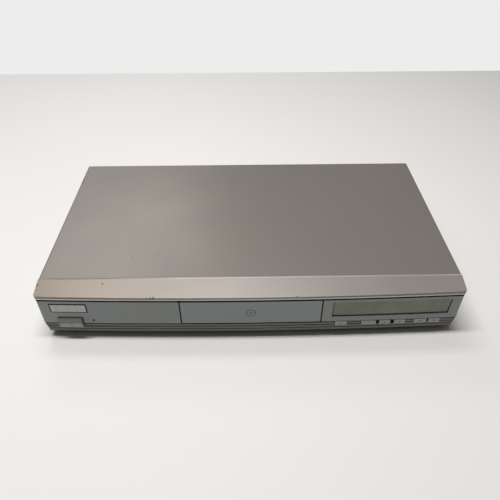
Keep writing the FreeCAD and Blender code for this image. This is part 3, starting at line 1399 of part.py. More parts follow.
def loader_frame():
    """Moulded frame: floor with an opening for the deck, side walls, guides, bearings."""
    half, inner = LOADER_HALF, LOADER_HALF - LOADER_WALL
    low, top = LOADER_FLOOR, floor_top()
    opening = box(-LOADER_OPENING_HALF, LOADER_OPENING_HALF, LOADER_OPENING_FRONT,
                  LOADER_OPENING_REAR, low - 1, top + 1)
    floor = box(-half, half, LOADER_FRONT, LOADER_REAR, low, top).cut(opening)
    parts = [box(-half, half, LOADER_REAR - LOADER_WALL, LOADER_REAR, low, LOADER_TOP)]
    ledge_top = TRAY_EDGE_UNDER - LEDGE_GAP
    tab_low = TRAY_RIM + LEDGE_GAP
    holes = []
    for side in (-1, 1):
        def across(a, b):
            return sorted((side * a, side * b))
        parts.append(box(*across(inner, half), LOADER_FRONT, LOADER_REAR, low, LOADER_TOP))
        parts.append(box(*across(inner - LEDGE_WIDTH, inner + 0.5), LOADER_FRONT,
                         LOADER_REAR - 1, ledge_top - LEDGE_WALL, ledge_top))
        for y in (LOADER_FRONT + 4, 140.0):
            parts.append(box(*across(inner - LEDGE_WIDTH, inner + 0.5), y, y + 14,
                             tab_low, tab_low + 1.8))
        for y in LUG_Y:
            parts.append(box(*across(half - 1, LUG_REACH), y - 6, y + 6, low,
                             low + LUG_WALL))
            holes.append(post(side * (LUG_REACH - 4), y, 0, 30, SCREW_RADIUS + SCREW_GAP))
        x0, x1 = across(LOADER_OPENING_HALF + 0.6, LOADER_OPENING_HALF + 3.6)
        parts.append(box(x0, x1, HINGE_Y - 5, HINGE_Y + 5, top - 0.5, HINGE_Z + 4.5))
        holes.append(bar_x(HINGE_Y, HINGE_Z, x0 - 0.5, x1 + 0.5, HINGE_PIN + BORE_GAP))
    for x in (DRIVE_X, pulley_gear_x()):
        parts.append(post(x, DRIVE_Y, top - 0.5, axle_boss_top(), 4.0))
        axle_top = RACK_HIGH + 0.6 if x == DRIVE_X else BELT_LEVEL + PULLEY_HALF + 0.8
        parts.append(post(x, DRIVE_Y, top, axle_top, AXLE_RADIUS))
    parts.append(ring(MOTOR_X, DRIVE_Y, top - 0.5, top + 5, MOTOR_RADIUS + 1.8,
                      MOTOR_RADIUS + BORE_GAP))
    for y0 in (CAM_Y - 2.2, CAM_Y + CAM_WALL + 0.3):
        parts.append(box(CAM_LEFT - 6, CAM_RIGHT + CAM_TRAVEL + 4, y0, y0 + 1.9,
                         top - 0.5, top + 3))
    return floor.fuse(parts).cut(holes).removeSplitter()


def clamp_bridge():
    """Steel bridge over the tray that carries the clamper."""
    half = LOADER_HALF + 0.1
    outer = half + HOOK_WALL
    front, rear = BRIDGE_FRONT + HOOK_INSET, BRIDGE_REAR - HOOK_INSET
    plate = box(-outer, outer, BRIDGE_FRONT, BRIDGE_REAR, LOADER_TOP,
                LOADER_TOP + BRIDGE_WALL)
    extras = []
    for side in (-1, 1):
        x0, x1 = sorted((side * half, side * outer))
        extras.append(box(x0, x1, front, rear, LOADER_TOP - HOOK_DROP, LOADER_TOP + 0.5))
        x0, x1 = sorted((side * 22, side * 60))
        for y in (front, rear):
            extras.append(box(x0, x1, y - 1, y + 1, LOADER_TOP + 0.5, LOADER_TOP + 2.2))
    hole = post(0, DISC_Y, 0, 70, CLAMPER_NECK + 0.8)
    return join(plate, *extras).cut(hole)


def clamper():
    """Magnetic puck that presses the disc on the turntable."""
    brim_low = LOADER_TOP + BRIDGE_WALL + 0.3
    lower = post(0, DISC_Y, CLAMPER_BOTTOM, LOADER_TOP - 1.0, CLAMPER_RADIUS)
    neck = post(0, DISC_Y, LOADER_TOP - 1.5, brim_low + 0.5, CLAMPER_NECK)
    brim = post(0, DISC_Y, brim_low, brim_low + 1.6, CLAMPER_BRIM)
    well = post(0, DISC_Y, CLAMPER_BOTTOM - 1, HUB_TOP + 1.6, HUB_RADIUS + 1.0)
    relief = ring(0, DISC_Y, CLAMPER_BOTTOM - 1, CLAMPER_BOTTOM + 0.4,
                  CLAMPER_RADIUS - 3, HUB_RADIUS + 0.5)
    notches = [post(10.6 * math.cos(a), DISC_Y + 10.6 * math.sin(a), brim_low - 1,
                    brim_low + 3, 0.8) for a in (0.0, math.pi * 2 / 3, math.pi * 4 / 3)]
    return join(lower, neck, brim).cut([well, relief] + notches)


def tray():
    """Disc tray with two recesses, a slot for the pickup and a rack below."""
    body = box(-TRAY_HALF, TRAY_HALF, TRAY_FRONT, TRAY_REAR, TRAY_EDGE_UNDER, TRAY_RIM)
    corners = edges_where(body, lambda p: abs(p.x) > TRAY_HALF - 0.01
                          and p.y > TRAY_REAR - 0.01 and TRAY_EDGE_UNDER < p.z < TRAY_RIM)
    body = body.makeFillet(4.0, corners)
    inner = TRAY_HALF - TRAY_SKIRT
    cuts = [
        post(0, DISC_Y, TRAY_FLOOR, TRAY_RIM + 1, TRAY_RECESS),
        post(0, DISC_Y, TRAY_INNER_FLOOR, TRAY_RIM + 1, TRAY_INNER_RECESS),
        box(-inner, inner, TRAY_FRONT + 3, TRAY_REAR + 1, TRAY_EDGE_UNDER - 1, TRAY_UNDER),
        post(0, DISC_Y, 30, 60, TRAY_SLOT_HALF),
        box(-TRAY_SLOT_HALF, TRAY_SLOT_HALF, DISC_Y, TRAY_SLOT_REAR, 30, 60),
    ]
    body = body.cut(cuts)
    pitch_x = DRIVE_X - rack_radius()
    back_x = pitch_x - 6.0
    teeth = rack(RACK_MODULE, pitch_x, back_x, DRIVE_Y, RACK_START, RACK_END,
                 RACK_LOW - 0.2, RACK_HIGH + 0.3)
    bar = box(back_x, back_x + 3.5, RACK_START, RACK_END, RACK_LOW - 0.2, TRAY_UNDER + 0.3)
    return join(body, teeth, bar)


def tray_door():
    """Bowed door with the block that hooks it on the tray."""
    half = DOOR_WIDTH / 2
    low, high = above_bottom(DOOR_RISE), below_top(DOOR_DROP)
    door = bowed_slab(-half, half, FACE_SET_BACK, FACE_SET_BACK + DOOR_WALL, low, high)
    rim = edges_where(door, lambda p: p.y < bow_y(p.x) + FACE_SET_BACK + 0.01)
    door = door.makeFillet(0.4, rim)
    block = box(-half + 14, half - 14, -FRONT_BOW + FACE_SET_BACK + DOOR_WALL - 1.2,
                TRAY_FRONT, TRAY_EDGE_UNDER + 1, TRAY_RIM - 1)
    ribs = [box(x - 0.7, x + 0.7, bow_y(x) + FACE_SET_BACK + DOOR_WALL - 0.4,
                TRAY_FRONT - 0.6, low + 4, high - 5) for x in (-50.0, 0.0, 50.0)]
    return join(door, block, *ribs)


def cam_plate_slot(x):
    """Slanted slot that lifts one pin of the deck."""
    low = cam_rest_z()
    reach = CAM_PIN_RADIUS + CAM_SLOT_GAP
    rise = CAM_PIN_Z - low
    length = math.hypot(CAM_TRAVEL, rise)
    dx, dz = -CAM_TRAVEL / length, rise / length
    nx, nz = -dz * reach, dx * reach
    corners = [(x + nx, low + nz), (x - CAM_TRAVEL + nx, CAM_PIN_Z + nz),
               (x - CAM_TRAVEL - nx, CAM_PIN_Z - nz), (x - nx, low - nz)]
    run = prism_y(corners, CAM_Y - 1, CAM_Y + CAM_WALL + 1)
    ends = [bar_y(x, low, CAM_Y - 1, CAM_Y + CAM_WALL + 1, reach),
            bar_y(x - CAM_TRAVEL, CAM_PIN_Z, CAM_Y - 1, CAM_Y + CAM_WALL + 1, reach)]
    return run.fuse(ends)


def cam_rest_z():
    """Height of the deck's pins in the cam plate when the deck is lowered."""
    drop = math.radians(DECK_DROP)
    arm = HINGE_Y - CAM_Y - CAM_WALL / 2
    rise = CAM_PIN_Z - HINGE_Z
    return HINGE_Z - arm * math.tan(drop) + rise / math.cos(drop)


def cam_slider():
    """Plate that slides across and lifts the front of the deck."""
    plate = box(CAM_LEFT, CAM_RIGHT, CAM_Y, CAM_Y + CAM_WALL, CAM_LOW, CAM_HIGH)
    slots = [cam_plate_slot(x) for x in CAM_PIN_X]
    middle = (CAM_PIN_X[0] + CAM_PIN_X[1] - CAM_TRAVEL) / 2
    window = box(middle - 8, middle + 8, CAM_Y - 1, CAM_Y + CAM_WALL + 1,
                 CAM_LOW + 7, CAM_HIGH - 5)
    return plate.cut(slots + [window])


# Swinging deck; these are drawn level

def deck_frame():
    """Deck plate with rims, rod posts, hinge pins and lifting pins."""
    top, under = DECK_TOP, DECK_TOP - DECK_SHEET
    plate = box(-DECK_HALF, DECK_HALF, DECK_FRONT, DECK_REAR, under, top)
    rim = box(-DECK_HALF, DECK_HALF, DECK_FRONT, DECK_REAR, DECK_RIM, top)
    rim = rim.cut(box(-DECK_HALF + 2, DECK_HALF - 2, DECK_FRONT + 2, DECK_REAR - 2,
                      DECK_RIM - 1, top + 1))
    parts = [rim]
    for side in (-1, 1):
        def across(a, b):
            return sorted((side * a, side * b))
        for y in (ROD_FRONT - 1, ROD_REAR + 0.5 - ROD_POST):
            parts.append(box(*across(ROD_X - 2.8, ROD_X + 2.8), y, y + ROD_POST, top - 0.5,
                             ROD_Z + 2.6))
        parts.append(box(*across(DECK_HALF - 6, DECK_HALF), RACK_END + 5, HINGE_Y + 4,
                         under, HINGE_Z + 3.4))
        parts.append(bar_x(HINGE_Y, HINGE_Z, *across(DECK_HALF - 1,
                                                     LOADER_OPENING_HALF + 3.4), HINGE_PIN))
    for x in CAM_PIN_X:
        parts.append(box(x - 4, x + 4, DECK_FRONT, DECK_FRONT + 3, under, CAM_PIN_Z + 2.8))
        parts.append(bar_y(x, CAM_PIN_Z, CAM_Y - 0.6, DECK_FRONT + 1, CAM_PIN_RADIUS))
    parts.append(post(SLED_GEAR_X, SLED_GEAR_Y, top - 0.5, SLED_RACK_HIGH + 1.2, 1.0))
    parts.append(post(SLED_GEAR_X, SLED_GEAR_Y, top - 0.5, SLED_GEAR_LOW - 0.1, 2.4))
    deck = plate.fuse(parts)
    motor_x, motor_y = sled_motor_place()
    holes = [box(-DECK_OPENING_HALF, DECK_OPENING_HALF, DECK_OPENING_FRONT,
                 DECK_OPENING_REAR, under - 1, top + 1),
             post(motor_x, motor_y, under - 1, top + 1, 2.2),
             post(motor_x, motor_y, DECK_RIM - 1, under, SLED_MOTOR_RADIUS + 0.3)]
    for x in (8 - DECK_HALF, DECK_HALF - 28):
        holes.append(box(x, x + 20, DECK_FRONT + 10, DECK_FRONT + 26, under - 1, top + 1))
    for side in (-1, 1):
        holes.append(bar_y(side * ROD_X, ROD_Z, ROD_FRONT - 1.1, ROD_REAR,
                           ROD_RADIUS + BORE_GAP))
    return deck.cut(holes).removeSplitter()


def sled_motor_place():
    reach = SLED_MODULE * (SLED_BIG_TEETH + SLED_MOTOR_TEETH) / 2
    angle = math.radians(SLED_MOTOR_TURN)
    return SLED_GEAR_X + reach * math.cos(angle), SLED_GEAR_Y + reach * math.sin(angle)


def spindle_motor():
    """Flat motor under the turntable, on a flange."""
    can_body = post(0, DISC_Y, DECK_TOP, SPINDLE_TOP - 1.5, SPINDLE_RADIUS)
    shoulder = post(0, DISC_Y, SPINDLE_TOP - 2, SPINDLE_TOP, SPINDLE_RADIUS - 2.5)
    flange = box(-19, 19, DISC_Y - 8, DISC_Y + 8, DECK_TOP, DECK_TOP + 1.5)
    bore = post(0, DISC_Y, SPINDLE_TOP - 7, SPINDLE_TOP + 1, 1.0 + BORE_GAP)
    return join(can_body, shoulder, flange).cut(bore)


def turntable():
    """Seat for the disc with its centring hub and shaft."""
    seat = post(0, DISC_Y, TURNTABLE_SEAT - 2.6, TURNTABLE_SEAT, TURNTABLE_RADIUS)
    groove = ring(0, DISC_Y, TURNTABLE_SEAT - 0.4, TURNTABLE_SEAT + 1, TURNTABLE_RADIUS - 4.5,
                  HUB_RADIUS + 0.4)
    hub = post(0, DISC_Y, TURNTABLE_SEAT - 0.6, TURNTABLE_SEAT + DISC_WALL, HUB_RADIUS)
    nose = cone(0, DISC_Y, TURNTABLE_SEAT + DISC_WALL, HUB_TOP, HUB_RADIUS, HUB_RADIUS - 1.6)
    boss = post(0, DISC_Y, SPINDLE_TOP + 0.6, TURNTABLE_SEAT - 2, 4.0)
    shaft = post(0, DISC_Y, SPINDLE_TOP - 6.5, TURNTABLE_SEAT, 1.0)
    dimple = cone(0, DISC_Y, HUB_TOP - 1.2, HUB_TOP + 0.01, 1.0, 2.4)
    return join(seat.cut(groove), hub, nose, boss, shaft).cut(dimple)


def guide_rods():
    """Two polished rods that carry the pickup."""
    return Part.makeCompound([bar_y(side * ROD_X, ROD_Z, ROD_FRONT + 0.2, ROD_REAR - 0.2,
                                    ROD_RADIUS) for side in (-1, 1)])


def pickup_sled():
    """Sled with a bearing on one rod, a fork on the other and a rack."""
    body = box(-SLED_HALF, SLED_HALF, SLED_FRONT, SLED_REAR, SLED_BOTTOM, SLED_TOP)
    shoulders = [box(x0, x1, SLED_FRONT - 1, SLED_REAR + 1, ROD_Z + 2.6, SLED_TOP + 1)
                 for x0, x1 in ((-SLED_HALF - 1, -SLED_WAIST), (SLED_WAIST, SLED_HALF + 1))]
    bore = bar_y(ROD_X, ROD_Z, SLED_FRONT - 1, SLED_REAR + 1, ROD_RADIUS + BORE_GAP)
    fork = box(-SLED_HALF - 1, -ROD_X + ROD_RADIUS + 0.4, SLED_FRONT - 1, SLED_REAR + 1,
               ROD_Z - ROD_RADIUS - BORE_GAP, ROD_Z + ROD_RADIUS + BORE_GAP)
    well = box(-13, 13, LENS_Y - 8, LENS_Y + 8, lens_floor(), SLED_TOP + 1)
    body = body.cut(shoulders + [bore, fork, well])
    pitch_x = SLED_GEAR_X - SLED_MODULE * SLED_SMALL_TEETH / 2
    teeth = rack(SLED_MODULE, pitch_x, ROD_X + 3.2, SLED_GEAR_Y, SLED_RACK_FRONT,
                 SLED_RACK_REAR, SLED_RACK_LOW, SLED_RACK_HIGH)
    bridge = box(ROD_X + 2.4, ROD_X + 4, SLED_FRONT + 2, SLED_RACK_REAR - 1,
                 SLED_RACK_LOW, SLED_RACK_HIGH)
    flex_plug = box(-9, 9, SLED_REAR - 6, SLED_REAR - 2, SLED_TOP - 1, SLED_TOP + 0.6)
    return join(body, teeth, bridge, flex_plug)


def lens_floor():
    return SLED_TOP - 5.0


def pickup_lens():
    """Lens in its holder, which floats over the sled to focus."""
    low = lens_floor() + LENS_TRAVEL + 0.3
    holder = box(-LENS_HALF_X, LENS_HALF_X, LENS_Y - LENS_HALF_Y, LENS_Y + LENS_HALF_Y, low,
                 LENS_TOP - 3.2)

    def at_corner(p):
        across, along = abs(abs(p.x) - LENS_HALF_X), abs(abs(p.y - LENS_Y) - LENS_HALF_Y)
        return across < 0.01 and along < 0.01

    holder = holder.makeFillet(1.5, edges_where(holder, at_corner))
    neck = post(0, LENS_Y, LENS_TOP - 4, LENS_TOP - 0.6, 4.4)
    dome = Part.makeSphere(LENS_DOME, Vector(0, LENS_Y, LENS_TOP - LENS_DOME))
    dome = dome.common(post(0, LENS_Y, LENS_TOP - 1.2, LENS_TOP + 1, 3.2))
    return join(holder, neck, dome)


def sled_gear():
    """Two-stage gear between the sled's motor and its rack."""
    x, y = SLED_GEAR_X, SLED_GEAR_Y
    wheel = gear(SLED_MODULE, SLED_BIG_TEETH, x, y, SLED_GEAR_LOW, SLED_GEAR_HIGH,
                 SLED_MOTOR_TURN)
    pinion = gear(SLED_MODULE, SLED_SMALL_TEETH, x, y, SLED_GEAR_HIGH - 0.2,
                  SLED_RACK_HIGH, 180.0)
    return join(wheel, pinion).cut(post(x, y, 0, 60, 1.0 + BORE_GAP))


def sled_pinion():
    """Pinion on the shaft of the sled's motor."""
    x, y = sled_motor_place()
    turn = SLED_MOTOR_TURN + 180 + 180.0 / SLED_MOTOR_TEETH
    pinion = gear(SLED_MODULE, SLED_MOTOR_TEETH, x, y, SLED_GEAR_LOW - 0.2,
                  SLED_GEAR_HIGH + 0.3, turn)
    shaft = post(x, y, DECK_TOP - 7, SLED_GEAR_HIGH + 0.6, 0.8)
    return join(pinion, shaft)


def sled_motor():
    """Small can motor hung under the deck plate."""
    x, y = sled_motor_place()
    top = DECK_TOP - DECK_SHEET
    body = post(x, y, top - 9.5, top, SLED_MOTOR_RADIUS)
    neck = post(x, y, top - 0.5, top + 1.2, 2.0)
    bore = post(x, y, top - 6.5, 60, 0.8 + BORE_GAP)
    return join(body, neck).cut(bore)


def lowered(shape):
    """Swing a piece of the level deck down about the hinge."""
    return shape.rotated(Vector(0, HINGE_Y, HINGE_Z), Vector(1, 0, 0), DECK_DROP)


def save(name, shape):
    placed = shape.translated(Vector(0, -MIDDLE_Y, 0))
    placed.exportStep(os.path.join("parts", name + ".step"))


def pieces():
    """Every piece by name, with the function that draws it."""
    fixed = {
        "base_pan": base_pan, "top_cover": top_cover, "rear_panel": rear_panel,
        "front_panel": front_panel, "display_window": display_window,
        "name_badge": name_badge, "power_led": power_led, "feet": feet,
        "cover_screws": cover_screws, "panel_screws": panel_screws,
        "board_screws": board_screws, "loader_screws": loader_screws,
        "power_button": power_button, "switch_rod": switch_rod,
        "front_board": front_board, "key_switches": key_switches,
        "display_module": display_module, "remote_sensor": remote_sensor,
        "power_board": power_board, "transformer": transformer,
        "power_capacitors": power_capacitors, "heat_sink": heat_sink,
        "mains_switch": mains_switch, "mains_inlet": mains_inlet, "fuse": fuse,
        "main_board": main_board, "main_chips": main_chips,
        "board_capacitors": board_capacitors, "av_jacks": av_jacks,
        "s_video_socket": s_video_socket, "optical_socket": optical_socket,
        "ribbon_cable": ribbon_cable, "power_cable": power_cable,
        "loader_frame": loader_frame, "clamp_bridge": clamp_bridge, "clamper": clamper,
        "tray": tray, "tray_door": tray_door, "loading_motor": loading_motor,
        "motor_pulley": motor_pulley, "drive_belt": drive_belt,
        "pulley_gear": pulley_gear, "drive_gear": drive_gear, "cam_slider": cam_slider,
    }
    swinging = {
        "deck_frame": deck_frame, "spindle_motor": spindle_motor, "turntable": turntable,
        "guide_rods": guide_rods, "pickup_sled": pickup_sled, "pickup_lens": pickup_lens,
        "sled_gear": sled_gear, "sled_pinion": sled_pinion, "sled_motor": sled_motor,
    }
    shapes = {name: draw() for name, draw in fixed.items()}
    shapes.update({name: key(left, right) for name, left, right in keys()})
    shapes.update({name: lowered(draw()) for name, draw in swinging.items()})
    return shapes


def main():
    os.makedirs("parts", exist_ok=True)
    for name, shape in pieces().items():
        save(name, shape)


main()
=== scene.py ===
import math

import bmesh
import bpy
from mathutils import Euler, Matrix, Vector


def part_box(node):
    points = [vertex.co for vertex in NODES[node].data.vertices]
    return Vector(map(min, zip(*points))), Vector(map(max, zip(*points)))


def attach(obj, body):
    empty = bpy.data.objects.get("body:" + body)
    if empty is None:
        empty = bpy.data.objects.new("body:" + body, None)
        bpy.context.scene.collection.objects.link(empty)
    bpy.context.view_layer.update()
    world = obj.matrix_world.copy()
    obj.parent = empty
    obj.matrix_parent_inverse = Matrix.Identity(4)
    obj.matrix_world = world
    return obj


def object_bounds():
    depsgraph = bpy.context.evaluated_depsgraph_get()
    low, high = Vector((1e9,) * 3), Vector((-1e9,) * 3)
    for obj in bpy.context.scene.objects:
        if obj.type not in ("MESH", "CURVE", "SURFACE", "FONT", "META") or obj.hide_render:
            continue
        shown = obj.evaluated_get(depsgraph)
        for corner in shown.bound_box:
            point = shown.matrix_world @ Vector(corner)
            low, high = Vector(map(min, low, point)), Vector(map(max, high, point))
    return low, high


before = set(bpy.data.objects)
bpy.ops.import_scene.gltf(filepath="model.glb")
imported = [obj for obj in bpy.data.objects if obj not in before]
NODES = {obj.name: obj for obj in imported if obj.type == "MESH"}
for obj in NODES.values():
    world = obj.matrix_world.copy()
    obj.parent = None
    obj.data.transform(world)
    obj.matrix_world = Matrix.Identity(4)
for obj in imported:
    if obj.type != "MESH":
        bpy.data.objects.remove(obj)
CAD_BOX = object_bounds()

# Sizes of the part that the added pieces and the paint follow, in metres.
TOP = 0.065
HALF_WIDTH = 0.215
FRONT_BOW = 0.0045
FRONT_Y = CAD_BOX[0].y + FRONT_BOW
BOW_RADIUS = (HALF_WIDTH ** 2 + FRONT_BOW ** 2) / (2 * FRONT_BOW)
FACE_SET_BACK = 0.0005
KEY_SET_BACK = 0.00015
INK_LIFT = 0.00004
# Level above which the bead gets its painted highlight.
BEAD_HIGHLIGHT_FROM = TOP - 0.0094
BUTTON_WING = 0.0022
BUTTON_PROUD = 0.0025
BUTTON_CREASE = 0.024
BUTTON_UNDER = 0.018
RIB_GROOVES = (0.0214, 0.0168, 0.0121)
RIBS_BELOW = 0.0217
BEAD_GROOVE = 0.0546
LIP_GROOVE = 0.0589
DOOR_SHADE = 0.0533
# Level and X range of the painted highlight on the strip's crease ridge.
HIGHLIGHT_RIDGE = TOP - 0.0003
HIGHLIGHT_FROM, HIGHLIGHT_TO = -0.15, -0.07
# X range of the painted reflection tint on the strip, warm to cool.
WARM_TO, COOL_FROM = -0.16, 0.02
# Levels of the painted shade on the front's underside.
UNDERSIDE, SIDE_START = 0.0078, 0.0088
# Place of the painted dark reflection along the cover's top side bends.
BEND_X, BEND_Z, BEND_FADE = 0.2133, 0.0636, 0.0005
BADGE_BORDER = 0.0011
WINDING_HALF, WINDING_RISE, CORE_LIFT = 0.0093, 0.0068, 0.0015
BARREL_START = 0.0014
KEY_SIGN = 0.0017
DOOR_SIGN_DROP = 0.0165
BUTTON_MARK_Z, BUTTON_MARK_HALF, BUTTON_MARK_LINE = 0.0206, 0.0013, 0.00035
BUTTON_FALL = 0.0005
FLOOR_EDGE = 0.62
KEYS = ("key_eject", "key_play", "key_pause", "key_stop", "key_previous", "key_next")

# Radius and reach of a collar's section, and the place and colour of each collar.
COLLAR_SECTION = ((0.00430, 0.0013), (0.00430, 0.0033), (0.00445, 0.0036),
                  (0.00560, 0.0036), (0.00600, 0.0031), (0.00600, 0.0013))
COLLARS = ((0.195, 0.027, "white"), (0.195, 0.043, "green"), (0.181, 0.027, "red"),
           (0.181, 0.043, "blue"), (0.167, 0.027, "yellow"), (0.167, 0.043, "red"),
           (0.104, 0.027, "orange"))


def srgb(red, green, blue):
    """Linear colour from the usual 0 to 255 numbers."""
    def linear(value):
        share = value / 255
        if share <= 0.04045:
            return share / 12.92
        return ((share + 0.055) / 1.055) ** 2.4
    return (linear(red), linear(green), linear(blue), 1.0)


def bow_y(x):
    """Y of the bowed front at a distance x from the middle."""
    return FRONT_Y + BOW_RADIUS - FRONT_BOW - math.sqrt(BOW_RADIUS ** 2 - x ** 2)


# Materials

class Paint:
    """A material under construction, with short calls for its nodes."""

    def __init__(self, name):
        self.material = bpy.data.materials.new(name)
        self.material.use_nodes = True
        self.tree = self.material.node_tree
        self.shader = self.tree.nodes["Principled BSDF"]
        self.place = self.node("ShaderNodeTexCoord").outputs["Object"]

    def node(self, kind):
        return self.tree.nodes.new(kind)

    def link(self, source, target):
        self.tree.links.new(source, target)

    def set(self, **values):
        for name, value in values.items():
            self.shader.inputs[name.replace("_", " ")].default_value = value

    def math(self, operation, first, second=None):
        made = self.node("ShaderNodeMath")
        made.operation = operation
        for socket, value in zip(made.inputs, (first, second)):
            if value is None:
                continue
            if isinstance(value, (int, float)):
                socket.default_value = value
            else:
                self.link(value, socket)
        return made.outputs[0]

    def noise(self, scale, detail=3.0, stretch=(1.0, 1.0, 1.0)):
        mapping = self.node("ShaderNodeMapping")
        mapping.inputs["Scale"].default_value = stretch
        texture = self.node("ShaderNodeTexNoise")
        texture.inputs["Scale"].default_value = scale
        texture.inputs["Detail"].default_value = detail
        self.link(self.place, mapping.inputs["Vector"])
        self.link(mapping.outputs["Vector"], texture.inputs["Vector"])
        return texture.outputs["Fac"]

    def between(self, value, low, high, to_low, to_high):
        spread = self.node("ShaderNodeMapRange")
        for name, number in (("From Min", low), ("From Max", high),
                             ("To Min", to_low), ("To Max", to_high)):
            spread.inputs[name].default_value = number
        self.link(value, spread.inputs["Value"])
        return spread.outputs["Result"]

    def mix(self, share, first, second):
        """Colour between two; each is a colour or a socket."""
        made = self.node("ShaderNodeMix")
        made.data_type = "RGBA"
        self.link(share, made.inputs[0])
        for socket, value in ((made.inputs[6], first), (made.inputs[7], second)):
            if isinstance(value, tuple):
                socket.default_value = value
            else:
                self.link(value, socket)
        return made.outputs[2]

    def axes(self):
        split = self.node("ShaderNodeSeparateXYZ")
        self.link(self.place, split.inputs[0])
        return split.outputs

    def spot(self, place, radius):
        """One inside a soft round spot on the surface, nought outside."""
        away = self.node("ShaderNodeVectorMath")
        away.operation = "DISTANCE"
        self.link(self.place, away.inputs[0])
        away.inputs[1].default_value = place
        return self.between(away.outputs["Value"], radius * 0.6, radius, 1.0, 0.0)

    def colour(self, socket):
        self.link(socket, self.shader.inputs["Base Color"])

    def roughness(self, socket):
        self.link(socket, self.shader.inputs["Roughness"])

    def relief(self, height, depth, edge=0.0):
        """Fine bumps, and softened edges where edge is the radius."""
        bump = self.node("ShaderNodeBump")
        bump.inputs["Strength"].default_value = 1.0
        bump.inputs["Distance"].default_value = depth
        self.link(height, bump.inputs["Height"])
        if edge:
            rounded = self.node("ShaderNodeBevel")
            rounded.samples = 4
            rounded.inputs["Radius"].default_value = edge
            self.link(rounded.outputs["Normal"], bump.inputs["Normal"])
        self.link(bump.outputs["Normal"], self.shader.inputs["Normal"])


def cover_paint():
    """Satin silver paint on sheet steel, with rubbed patches, a few marks and a painted dark
    reflection along the top side bends.
    """
    paint = Paint("cover_paint")
    paint.set(Metallic=0.35)
    cloud = paint.noise(9.0, 4.0)
    flake = paint.noise(2600.0, 1.0)
    base = paint.mix(paint.between(cloud, 0.35, 0.65, 0.0, 1.0), srgb(144, 136, 129),
                     srgb(136, 130, 125))
    base = paint.mix(paint.between(flake, 0.3, 0.7, 0.0, 0.12), base, srgb(205, 203, 199))
    marks = ((-0.155, 0.057, TOP, 0.0015, 0.5), (-0.1486, 0.0590, TOP, 0.0014, 0.4),
             (-0.125, -0.070, TOP, 0.0016, 0.3), (-0.099, -0.064, TOP, 0.0014, 0.3),
             (-0.2145, 0.0835, 0.0645, 0.0028, 0.85), (-0.2145, 0.0770, 0.0645, 0.0028, 0.85))
    for x, y, z, radius, share in marks:
        base = paint.mix(paint.math("MULTIPLY", paint.spot((x, y, z), radius), share), base,
                         srgb(60, 56, 53))
    axes = paint.axes()
    # Painted reflection: a darker line along both top side bends stands for the dark
    # surroundings reflected in the rounded bend.
    bend_dark_reflection = paint.between(paint.math("ABSOLUTE", axes[0]), BEND_X, BEND_X + BEND_FADE,
                            0.0, 0.6)
    bend_dark_reflection = paint.math("MULTIPLY", bend_dark_reflection,
                         paint.between(axes[2], BEND_Z, BEND_Z + BEND_FADE, 0.0, 1.0))
    base = paint.mix(bend_dark_reflection, base, srgb(70, 66, 62))
    scuff = paint.between(paint.noise(60.0, 5.0, (0.3, 1.6, 1.0)), 0.60, 0.74, 0.0, 0.18)
    base = paint.mix(scuff, base, srgb(140, 137, 132))
    paint.colour(base)
    paint.roughness(paint.between(cloud, 0.3, 0.7, 0.31, 0.40))
    paint.relief(flake, 0.00001, 0.0004)
    return paint.material


